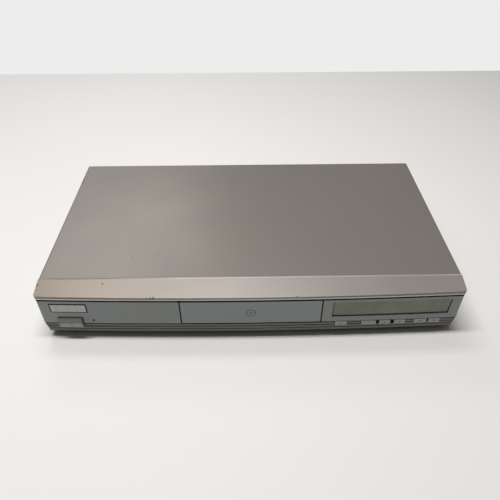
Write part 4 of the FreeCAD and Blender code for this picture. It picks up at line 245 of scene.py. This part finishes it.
def bezel_paint():
    """Silver paint on the moulded front with a few nicks, and painted light: a warm-to-cool
    reflected tint on the sloped strip, which makes it warmer than the face, highlights on the
    bead and the crease ridge, and shade on the ribs, in the grooves, under the bead and
    underneath.
    """
    paint = Paint("bezel_paint")
    paint.set(Metallic=0.25)
    flake = paint.noise(2600.0, 1.0)
    cloud = paint.noise(14.0, 3.0)
    level = paint.axes()[2]
    # Painted shade: the ribs below RIBS_BELOW are darker than the face, standing for the shade
    # on the receding, downward-facing ribs.
    rib_shade = paint.between(level, RIBS_BELOW - 0.0002, RIBS_BELOW + 0.0002, 1.0, 0.0)
    base = paint.mix(rib_shade, srgb(127, 133, 133), srgb(92, 95, 93))
    # Painted highlight: the bead under the strip is much paler, standing for the light caught by
    # its rounded top.
    bead_highlight = paint.between(level, BEAD_HIGHLIGHT_FROM - 0.0001, BEAD_HIGHLIGHT_FROM + 0.0001, 0.0, 1.0)
    base = paint.mix(bead_highlight, base, srgb(214, 206, 199))
    over_bead = paint.between(level, LIP_GROOVE - 0.0001, LIP_GROOVE + 0.0001, 0.0, 1.0)
    # Painted reflection: the strip is tinted warm at the left and cool at the right, and warmer
    # than the face, standing for the light it reflects.
    reflected_tint = paint.between(paint.axes()[0], WARM_TO, COOL_FROM, 0.0, 1.0)
    strip = paint.mix(reflected_tint, srgb(149, 136, 124), srgb(147, 140, 136))
    # Painted highlight: the strip's top ridge is paler from a little left of the middle to the
    # right end, standing for light caught along the crease.
    crease_highlight = paint.math("GREATER_THAN", level, HIGHLIGHT_RIDGE)
    crease_highlight = paint.math("MULTIPLY", crease_highlight,
                      paint.between(paint.axes()[0], HIGHLIGHT_FROM, HIGHLIGHT_TO, 0.0, 0.8))
    strip = paint.mix(crease_highlight, strip, srgb(205, 201, 196))
    base = paint.mix(over_bead, base, strip)
    base = paint.mix(paint.between(cloud, 0.35, 0.65, 0.0, 0.14), base, srgb(140, 138, 133))
    base = paint.mix(paint.between(flake, 0.3, 0.7, 0.0, 0.12), base, srgb(200, 199, 197))
    # Painted shade: near-black lines in the rib grooves and under the bead, and a dark underside
    # below SIDE_START, standing for the shade there.
    painted_shade = srgb(20, 20, 18)
    for groove, reach, share in ([(rib, 0.0011, 0.92) for rib in RIB_GROOVES]
                                 + [(BEAD_GROOVE, 0.0015, 0.96)]):
        away = paint.math("ABSOLUTE", paint.math("SUBTRACT", level, groove))
        base = paint.mix(paint.between(away, reach * 0.5, reach, share, 0.0), base, painted_shade)
    base = paint.mix(paint.between(level, UNDERSIDE, SIDE_START, 0.9, 0.0), base, painted_shade)
    nicks = ((-0.149, -0.1070, 0.0636, 0.0012), (-0.0965, -0.1237, 0.0594, 0.0017),
             (-0.0995, -0.1236, 0.0592, 0.0015), (-0.1030, -0.1235, 0.0594, 0.0012),
             (-0.2145, -0.1075, 0.0632, 0.0018),
             (-0.2150, -0.1130, 0.0610, 0.0020), (0.045, -0.1246, 0.0603, 0.0010))
    for x, y, z, radius in nicks:
        base = paint.mix(paint.math("MULTIPLY", paint.spot((x, y, z), radius), 0.8), base,
                         srgb(58, 54, 50))
    paint.colour(base)
    paint.roughness(paint.between(cloud, 0.3, 0.7, 0.32, 0.42))
    paint.relief(flake, 0.000008, 0.0005)
    return paint.material


def satin(name, low, high, rough, metallic, scale=900.0, edge=0.0003, depth=0.000006):
    """Painted or moulded surface whose colour and gloss vary a little."""
    paint = Paint(name)
    paint.set(Metallic=metallic)
    grain = paint.noise(scale, 2.0)
    cloud = paint.noise(25.0, 3.0)
    paint.colour(paint.mix(paint.between(cloud, 0.3, 0.7, 0.0, 1.0), low, high))
    paint.roughness(paint.between(grain, 0.3, 0.7, rough - 0.05, rough + 0.05))
    paint.relief(grain, depth, edge)
    return paint.material


def darker_above_paint(name, below, above, level):
    """Silver paint that is darker above a level."""
    paint = Paint(name)
    paint.set(Metallic=0.25)
    flake = paint.noise(2600.0, 1.0)
    upper = paint.between(paint.axes()[2], level - 0.0003, level + 0.0003, 0.0, 1.0)
    base = paint.mix(upper, below, above)
    paint.colour(paint.mix(paint.between(flake, 0.3, 0.7, 0.0, 0.12), base,
                           srgb(200, 199, 197)))
    paint.roughness(paint.between(flake, 0.3, 0.7, 0.32, 0.40))
    paint.relief(flake, 0.000008, 0.0005)
    return paint.material


def window_tint():
    """Smoky olive pane, with the faint streaks of its old film."""
    paint = Paint("window_tint")
    paint.set(Coat_Weight=0.4, Coat_Roughness=0.12)
    streak = paint.noise(70.0, 4.0, (1.0, 1.0, 0.6))
    patch = paint.noise(28.0, 2.0)
    base = paint.mix(paint.between(streak, 0.42, 0.62, 0.0, 1.0), srgb(110, 110, 90),
                     srgb(96, 97, 80))
    base = paint.mix(paint.between(patch, 0.45, 0.6, 0.0, 0.35), base, srgb(128, 127, 112))
    paint.colour(base)
    paint.roughness(paint.between(streak, 0.3, 0.7, 0.22, 0.34))
    paint.relief(streak, 0.00002, 0.0002)
    return paint.material


def badge_plate():
    """Bare silver plate with a thin printed border."""
    paint = Paint("badge_plate")
    paint.set(Metallic=0.5)
    low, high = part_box("name_badge")
    middle, half = (low + high) / 2, (high - low) / 2
    across = paint.axes()

    def outside(index, centre, reach):
        away = paint.math("ABSOLUTE", paint.math("SUBTRACT", across[index], centre))
        return paint.math("SUBTRACT", away, reach)

    edge = paint.math("MAXIMUM", outside(0, middle.x, half.x), outside(2, middle.z, half.z))
    line = paint.math("GREATER_THAN", edge, -BADGE_BORDER)
    grain = paint.noise(1500.0, 2.0, (1.0, 1.0, 0.05))
    silver = paint.mix(paint.between(grain, 0.3, 0.7, 0.0, 1.0), srgb(178, 179, 176),
                       srgb(158, 160, 158))
    paint.colour(paint.mix(line, silver, srgb(24, 24, 25)))
    paint.roughness(paint.between(grain, 0.3, 0.7, 0.30, 0.40))
    paint.relief(grain, 0.000004, 0.0002)
    return paint.material


def zinc_steel(name="zinc_steel", shade=188):
    """Zinc-plated sheet with a faint crystal pattern and rolling lines."""
    paint = Paint(name)
    paint.set(Metallic=0.85)
    crystal = paint.node("ShaderNodeTexVoronoi")
    crystal.inputs["Scale"].default_value = 140.0
    paint.link(paint.place, crystal.inputs["Vector"])
    lines = paint.noise(500.0, 2.0, (0.04, 1.0, 1.0))
    base = paint.mix(paint.between(crystal.outputs["Distance"], 0.0, 0.8, 0.0, 1.0),
                     srgb(shade, shade, shade - 2), srgb(shade - 28, shade - 27, shade - 26))
    base = paint.mix(paint.between(lines, 0.4, 0.7, 0.0, 0.25), base, srgb(120, 121, 122))
    paint.colour(base)
    paint.roughness(paint.between(lines, 0.3, 0.7, 0.34, 0.48))
    paint.relief(lines, 0.000004, 0.0003)
    return paint.material


def metal(name, low, high, rough):
    """Plain turned or drawn metal with fine lines."""
    paint = Paint(name)
    paint.set(Metallic=1.0)
    lines = paint.noise(900.0, 2.0, (1.0, 1.0, 0.1))
    paint.colour(paint.mix(paint.between(lines, 0.3, 0.7, 0.0, 1.0), low, high))
    paint.roughness(paint.between(lines, 0.3, 0.7, rough - 0.05, rough + 0.08))
    paint.relief(lines, 0.000003, 0.0002)
    return paint.material


def circuit_board():
    """Green mask over faint copper tracks."""
    paint = Paint("circuit_board")
    paint.set(Coat_Weight=0.3)
    tracks = paint.node("ShaderNodeTexBrick")
    tracks.inputs["Scale"].default_value = 90.0
    tracks.inputs["Color1"].default_value = srgb(40, 92, 48)
    tracks.inputs["Color2"].default_value = srgb(34, 82, 44)
    tracks.inputs["Mortar"].default_value = srgb(62, 120, 60)
    tracks.inputs["Mortar Size"].default_value = 0.03
    paint.link(paint.place, tracks.inputs["Vector"])
    cloud = paint.noise(40.0, 2.0)
    paint.colour(paint.mix(paint.between(cloud, 0.3, 0.7, 0.0, 0.3), tracks.outputs["Color"],
                           srgb(28, 70, 38)))
    paint.roughness(paint.between(cloud, 0.3, 0.7, 0.35, 0.45))
    paint.relief(tracks.outputs["Fac"], 0.00003)
    return paint.material


def see_through(name, low, high, rough, share):
    """Tinted clear material for lens, display and fuse."""
    paint = Paint(name)
    paint.set(Transmission_Weight=share, IOR=1.5)
    cloud = paint.noise(120.0, 2.0)
    paint.colour(paint.mix(paint.between(cloud, 0.3, 0.7, 0.0, 1.0), low, high))
    paint.roughness(paint.between(cloud, 0.3, 0.7, rough, rough + 0.06))
    return paint.material


def socket_block():
    """Black moulding whose barrels behind the rear panel are plated."""
    paint = Paint("socket_block")
    outside = paint.math("GREATER_THAN", paint.axes()[1],
                         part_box("rear_panel")[1].y + BARREL_START)
    grain = paint.noise(700.0, 2.0)
    black = paint.mix(paint.between(grain, 0.3, 0.7, 0.0, 1.0), srgb(28, 28, 30),
                      srgb(38, 38, 40))
    plated = paint.mix(paint.between(grain, 0.3, 0.7, 0.0, 1.0), srgb(205, 203, 196),
                       srgb(186, 184, 178))
    paint.colour(paint.mix(outside, black, plated))
    paint.link(outside, paint.shader.inputs["Metallic"])
    paint.roughness(paint.between(grain, 0.3, 0.7, 0.24, 0.36))
    paint.relief(grain, 0.000005, 0.0002)
    return paint.material


def wound_core():
    """Dark ferrite with a taped amber winding inside."""
    paint = Paint("wound_core")
    low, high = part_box("transformer")
    middle = (low + high) / 2
    across = paint.axes()
    off_side = paint.math("ABSOLUTE", paint.math("SUBTRACT", across[1], middle.y))
    off_level = paint.math("ABSOLUTE", paint.math("SUBTRACT", across[2], middle.z + CORE_LIFT))
    inside = paint.math("MULTIPLY", paint.math("LESS_THAN", off_side, WINDING_HALF),
                        paint.math("LESS_THAN", off_level, WINDING_RISE))
    grain = paint.noise(300.0, 2.0)
    tape = paint.mix(paint.between(grain, 0.3, 0.7, 0.0, 1.0), srgb(196, 150, 40),
                     srgb(176, 130, 32))
    ferrite = paint.mix(paint.between(grain, 0.3, 0.7, 0.0, 1.0), srgb(52, 50, 50),
                        srgb(40, 39, 40))
    paint.colour(paint.mix(inside, ferrite, tape))
    paint.roughness(paint.between(grain, 0.3, 0.7, 0.35, 0.5))
    paint.relief(grain, 0.00001)
    return paint.material


def dress(material, *names):
    """Give CAD nodes a material in every slot they have."""
    for name in names:
        for place in NODES[name].material_slots:
            place.material = material


def dress_all():
    black = satin("black_plastic", srgb(32, 32, 34), srgb(40, 40, 42), 0.5, 0.0)
    white = satin("white_plastic", srgb(222, 219, 208), srgb(210, 207, 196), 0.45, 0.0)
    tray_black = satin("tray_plastic", srgb(38, 38, 40), srgb(46, 46, 48), 0.48, 0.0)
    steel = zinc_steel()
    screws = metal("screw_steel", srgb(96, 95, 94), srgb(72, 71, 71), 0.38)
    can = metal("motor_can", srgb(190, 189, 186), srgb(168, 167, 165), 0.3)
    chips = satin("chip_black", srgb(26, 26, 27), srgb(34, 34, 35), 0.42, 0.0)
    sleeve = satin("capacitor_sleeve", srgb(30, 34, 62), srgb(24, 26, 48), 0.3, 0.0)
    cable = satin("cable_sleeve", srgb(214, 213, 208), srgb(196, 195, 191), 0.35, 0.0)
    sets = (
        (cover_paint(), ("top_cover",)),
        (bezel_paint(), ("front_panel",)),
        # Painted shade: the tray door is dark above DOOR_SHADE, standing for the shade under the
        # bead.
        (darker_above_paint("door_paint", srgb(131, 139, 139), srgb(40, 41, 40), DOOR_SHADE),
         ("tray_door",)),
        (satin("key_paint", srgb(160, 162, 160), srgb(150, 153, 152), 0.36, 0.25, 2600.0),
         KEYS),
        # The power button is darker above its crease.
        (darker_above_paint("button_paint", srgb(146, 149, 147), srgb(108, 110, 109),
                        BUTTON_CREASE), ("power_button",)),
        (window_tint(), ("display_window",)),
        (badge_plate(), ("name_badge",)),
        (satin("lamp", srgb(34, 20, 18), srgb(26, 15, 14), 0.2, 0.0), ("power_led",)),
        (satin("foot_rubber", srgb(34, 34, 35), srgb(42, 42, 43), 0.7, 0.0, 500.0, 0.0004,
               0.00003), ("feet",)),
        (steel, ("base_pan", "rear_panel", "clamp_bridge")),
        (screws, ("cover_screws", "panel_screws", "board_screws", "loader_screws")),
        (circuit_board(), ("front_board", "power_board", "main_board")),
        (chips, ("key_switches", "main_chips")),
        (sleeve, ("power_capacitors", "board_capacitors")),
        (wound_core(), ("transformer",)),
        (metal("fin_aluminium", srgb(200, 201, 203), srgb(182, 184, 186), 0.4),
         ("heat_sink",)),
        (can, ("loading_motor", "spindle_motor", "sled_motor")),
        (metal("rod_chrome", srgb(222, 222, 222), srgb(205, 205, 206), 0.12),
         ("guide_rods",)),
        (see_through("display_glass", srgb(66, 74, 70), srgb(56, 64, 60), 0.08, 0.3),
         ("display_module",)),
        (satin("sensor_smoke", srgb(40, 20, 22), srgb(30, 15, 17), 0.15, 0.0),
         ("remote_sensor",)),
        (see_through("fuse_glass", srgb(225, 230, 230), srgb(215, 220, 220), 0.05, 0.7),
         ("fuse",)),
        (see_through("lens_glass", srgb(128, 148, 182), srgb(110, 130, 170), 0.04, 0.4),
         ("pickup_lens",)),
        (cable, ("ribbon_cable", "power_cable")),
        (satin("belt_rubber", srgb(30, 30, 30), srgb(38, 38, 38), 0.65, 0.0),
         ("drive_belt",)),
        (socket_block(), ("av_jacks",)),
        (black, ("mains_switch", "mains_inlet", "s_video_socket", "optical_socket",
                 "loader_frame", "deck_frame", "pickup_sled")),
        (tray_black, ("tray", "turntable")),
        (white, ("switch_rod", "clamper", "motor_pulley", "pulley_gear", "drive_gear",
                 "cam_slider", "sled_gear", "sled_pinion")),
    )
    for material, names in sets:
        dress(material, *names)


# Added pieces

def new_piece(name, mesh, material, body):
    """Show a mesh as a piece that moves with a body."""
    piece = bpy.data.objects.new(name, mesh)
    bpy.context.scene.collection.objects.link(piece)
    mesh.materials.append(material)
    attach(piece, body)


def print_mesh(name, outlines, surface):
    """Flat printed shapes on a surface that gives Y; outlines are lists of X and Z."""
    work = bmesh.new()
    for outline in outlines:
        corners = [work.verts.new((x, surface(x, z) - INK_LIFT, z)) for x, z in outline]
        work.faces.new(corners)
    mesh = bpy.data.meshes.new(name)
    work.to_mesh(mesh)
    work.free()
    return mesh


def middle_of(node):
    """X and Z of the middle of a node's box."""
    low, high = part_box(node)
    return (low.x + high.x) / 2, (low.z + high.z) / 2


def triangle(x, z, width, height):
    """Triangle that points right, or left if the width is negative."""
    return [(x - width / 2, z - height / 2), (x + width / 2, z), (x - width / 2, z + height / 2)]


def bar(x, z, width, height):
    """Upright rectangle about a middle."""
    return [(x - width / 2, z - height / 2), (x + width / 2, z - height / 2),
            (x + width / 2, z + height / 2), (x - width / 2, z + height / 2)]


def band(x, z, outer, inner, steps=48):
    """Ring as short quadrilaterals."""
    def at(index, radius):
        angle = 2 * math.pi * index / steps
        return x + radius * math.cos(angle), z + radius * math.sin(angle)
    return [[at(k, inner), at(k, outer), at(k + 1, outer), at(k + 1, inner)]
            for k in range(steps)]


def key_signs(ink):
    """Common transport signs on the key caps."""
    size = KEY_SIGN

    def eject(x, z):
        return [[(x - size / 2, z - 0.0003), (x + size / 2, z - 0.0003), (x, z + size / 2)],
                bar(x, z - size / 2 + 0.0001, size, 0.0005)]

    def play(x, z):
        return [triangle(x, z, size, size)]

    def pause(x, z):
        return [bar(x - 0.0006, z, 0.0006, size), bar(x + 0.0006, z, 0.0006, size)]

    def stop(x, z):
        return [bar(x, z, size * 0.85, size * 0.85)]

    def skip(x, z, way):
        return [triangle(x - way * 0.0010, z, way * 0.0018, size),
                triangle(x + way * 0.0008, z, way * 0.0018, size),
                bar(x + way * 0.0020, z, 0.0004, size)]

    drawn = {"key_eject": eject, "key_play": play, "key_pause": pause, "key_stop": stop,
             "key_previous": lambda x, z: skip(x, z, -1),
             "key_next": lambda x, z: skip(x, z, 1)}
    for key, draw in drawn.items():
        mesh = print_mesh(key + "_sign", draw(*middle_of(key)),
                          lambda x, z: bow_y(x) + KEY_SET_BACK)
        new_piece(key + "_sign", mesh, ink, key)


def door_sign(ink):
    """Plain disc pictogram in the middle of the tray door."""
    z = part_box("tray_door")[1].z - DOOR_SIGN_DROP
    rings = band(0.0, z, 0.0050, 0.0043) + band(0.0, z, 0.0016, 0.0010)
    mesh = print_mesh("door_sign", rings, lambda x, z: bow_y(x) + FACE_SET_BACK)
    new_piece("door_sign", mesh, ink, "tray")


def button_mark(ink):
    """Small square outline on the lower slope of the power button."""
    low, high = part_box("power_button")
    left, right = low.x + BUTTON_WING, high.x - BUTTON_WING
    lean = (bow_y(right) - bow_y(left)) / (right - left)

    def slope(x, z):
        crease = bow_y(left) - BUTTON_PROUD + lean * (x - left)
        return crease + BUTTON_FALL * (BUTTON_CREASE - z) / (BUTTON_CREASE - BUTTON_UNDER)

    x, z = (left + right) / 2, BUTTON_MARK_Z
    half, line = BUTTON_MARK_HALF, BUTTON_MARK_LINE
    sides = [bar(x, z - half, 2 * half, line), bar(x, z + half, 2 * half, line),
             bar(x - half, z, line, 2 * half), bar(x + half, z, line, 2 * half)]
    new_piece("button_mark", print_mesh("button_mark", sides, slope), ink, "power_button")


def jack_rings():
    """Coloured collars round the phono sockets."""
    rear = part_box("rear_panel")[1].y
    colours = {"yellow": srgb(222, 186, 40), "white": srgb(226, 225, 220),
               "red": srgb(176, 36, 34), "green": srgb(42, 128, 70),
               "blue": srgb(38, 74, 158), "orange": srgb(214, 112, 34)}
    made = {name: satin("collar_" + name, colour, colour, 0.38, 0.0)
            for name, colour in colours.items()}
    for number, (x, z, name) in enumerate(COLLARS):
        mesh = turned_mesh("jack_ring_%d" % number, COLLAR_SECTION, (x, rear, z))
        new_piece("jack_ring_%d" % number, mesh, made[name], "root")


def turned_mesh(name, profile, place, steps=40):
    """Closed ring turned about Y; the profile gives radius and reach."""
    work = bmesh.new()
    rows = []
    for index in range(steps):
        angle = 2 * math.pi * index / steps
        rows.append([work.verts.new((place[0] + radius * math.cos(angle),
                                     place[1] + reach,
                                     place[2] + radius * math.sin(angle)))
                     for radius, reach in profile])
    count = len(profile)
    for index, row in enumerate(rows):
        following = rows[(index + 1) % steps]
        for k in range(count):
            work.faces.new((row[k], row[(k + 1) % count], following[(k + 1) % count],
                            following[k]))
    bmesh.ops.recalc_face_normals(work, faces=work.faces)
    mesh = bpy.data.meshes.new(name)
    work.to_mesh(mesh)
    work.free()
    return mesh


# Room, lights and camera

def floor():
    """Pale table top that ends behind the object."""
    work = bmesh.new()
    corners = [(-3, -3), (3, -3), (3, FLOOR_EDGE), (-3, FLOOR_EDGE)]
    work.faces.new([work.verts.new((x, y, 0)) for x, y in corners])
    mesh = bpy.data.meshes.new("floor")
    work.to_mesh(mesh)
    work.free()
    plane = bpy.data.objects.new("floor", mesh)
    bpy.context.scene.collection.objects.link(plane)
    paint = Paint("floor_white")
    cloud = paint.noise(1.6, 2.0)
    paint.colour(paint.mix(paint.between(cloud, 0.35, 0.65, 0.0, 1.0), srgb(244, 242, 241),
                           srgb(241, 240, 239)))
    paint.set(Roughness=0.6, Specular_IOR_Level=0.2)
    mesh.materials.append(paint.material)


def world_light(low, high):
    """Light that grows from the horizon up, with a pale background where it is seen."""
    world = bpy.data.worlds.new("room")
    bpy.context.scene.world = world
    world.use_nodes = True
    tree = world.node_tree
    background = tree.nodes["Background"]
    background.inputs["Color"].default_value = (1.0, 0.93, 0.82, 1.0)
    place = tree.nodes.new("ShaderNodeTexCoord")
    split = tree.nodes.new("ShaderNodeSeparateXYZ")
    rise = tree.nodes.new("ShaderNodeMapRange")
    rise.inputs["To Min"].default_value = low
    rise.inputs["To Max"].default_value = high
    tree.links.new(place.outputs["Generated"], split.inputs[0])
    tree.links.new(split.outputs["Z"], rise.inputs["Value"])
    tree.links.new(rise.outputs["Result"], background.inputs["Strength"])
    seen = tree.nodes.new("ShaderNodeBackground")
    seen.inputs["Color"].default_value = srgb(238, 237, 237)
    rays = tree.nodes.new("ShaderNodeLightPath")
    both = tree.nodes.new("ShaderNodeMath")
    both.operation = "MAXIMUM"
    tree.links.new(rays.outputs["Is Camera Ray"], both.inputs[0])
    tree.links.new(rays.outputs["Is Transmission Ray"], both.inputs[1])
    mix = tree.nodes.new("ShaderNodeMixShader")
    tree.links.new(both.outputs[0], mix.inputs[0])
    tree.links.new(background.outputs[0], mix.inputs[1])
    tree.links.new(seen.outputs[0], mix.inputs[2])
    tree.links.new(mix.outputs[0], tree.nodes["World Output"].inputs["Surface"])


def soft_light(name, place, target, size, power):
    """Rectangular lamp at a place, turned to a target."""
    data = bpy.data.lights.new(name, "AREA")
    data.shape = "RECTANGLE"
    data.size, data.size_y = size
    data.energy = power
    lamp = bpy.data.objects.new(name, data)
    lamp.location = place
    lamp.rotation_euler = (Vector(target) - Vector(place)).to_track_quat("-Z", "Y").to_euler()
    bpy.context.scene.collection.objects.link(lamp)


def camera():
    """Camera where the photo was taken from."""
    data = bpy.data.cameras.new("camera")
    data.lens = 35.19
    data.sensor_width = 36.0
    data.clip_start = 0.01
    eye = bpy.data.objects.new("camera", data)
    turn = Euler((math.radians(49.3), 0.0, math.radians(-0.79))).to_matrix().to_4x4()
    roll = Matrix.Rotation(math.radians(-0.15), 4, "Z")
    eye.matrix_world = Matrix.Translation((-0.0057, -0.4588, 0.4087)) @ turn @ roll
    bpy.context.scene.collection.objects.link(eye)
    bpy.context.scene.camera = eye


def main():
    bpy.context.scene.view_settings.view_transform = "Standard"
    camera()
    dress_all()
    ink = satin("printing_ink", srgb(30, 31, 33), srgb(38, 39, 41), 0.5, 0.0)
    faint_ink = satin("key_ink", srgb(62, 63, 64), srgb(74, 75, 76), 0.5, 0.0)
    key_signs(faint_ink)
    button_mark(faint_ink)
    door_sign(ink)
    jack_rings()
    floor()
    world_light(0.0, 0.2)
    soft_light("key_light", (-0.2, -0.11, 1.5), (-0.2, -0.11, 0.0), (1.0, 0.14), 16.0)
    soft_light("back_light", (-0.3, 0.5, 1.5), (-0.3, 0.5, 0.0), (0.9, 0.3), 5.0)
    soft_light("corner_light", (-0.85, 1.9, 1.75), (0.0, 0.0, 0.0), (1.2, 0.6), 5.6)


main()
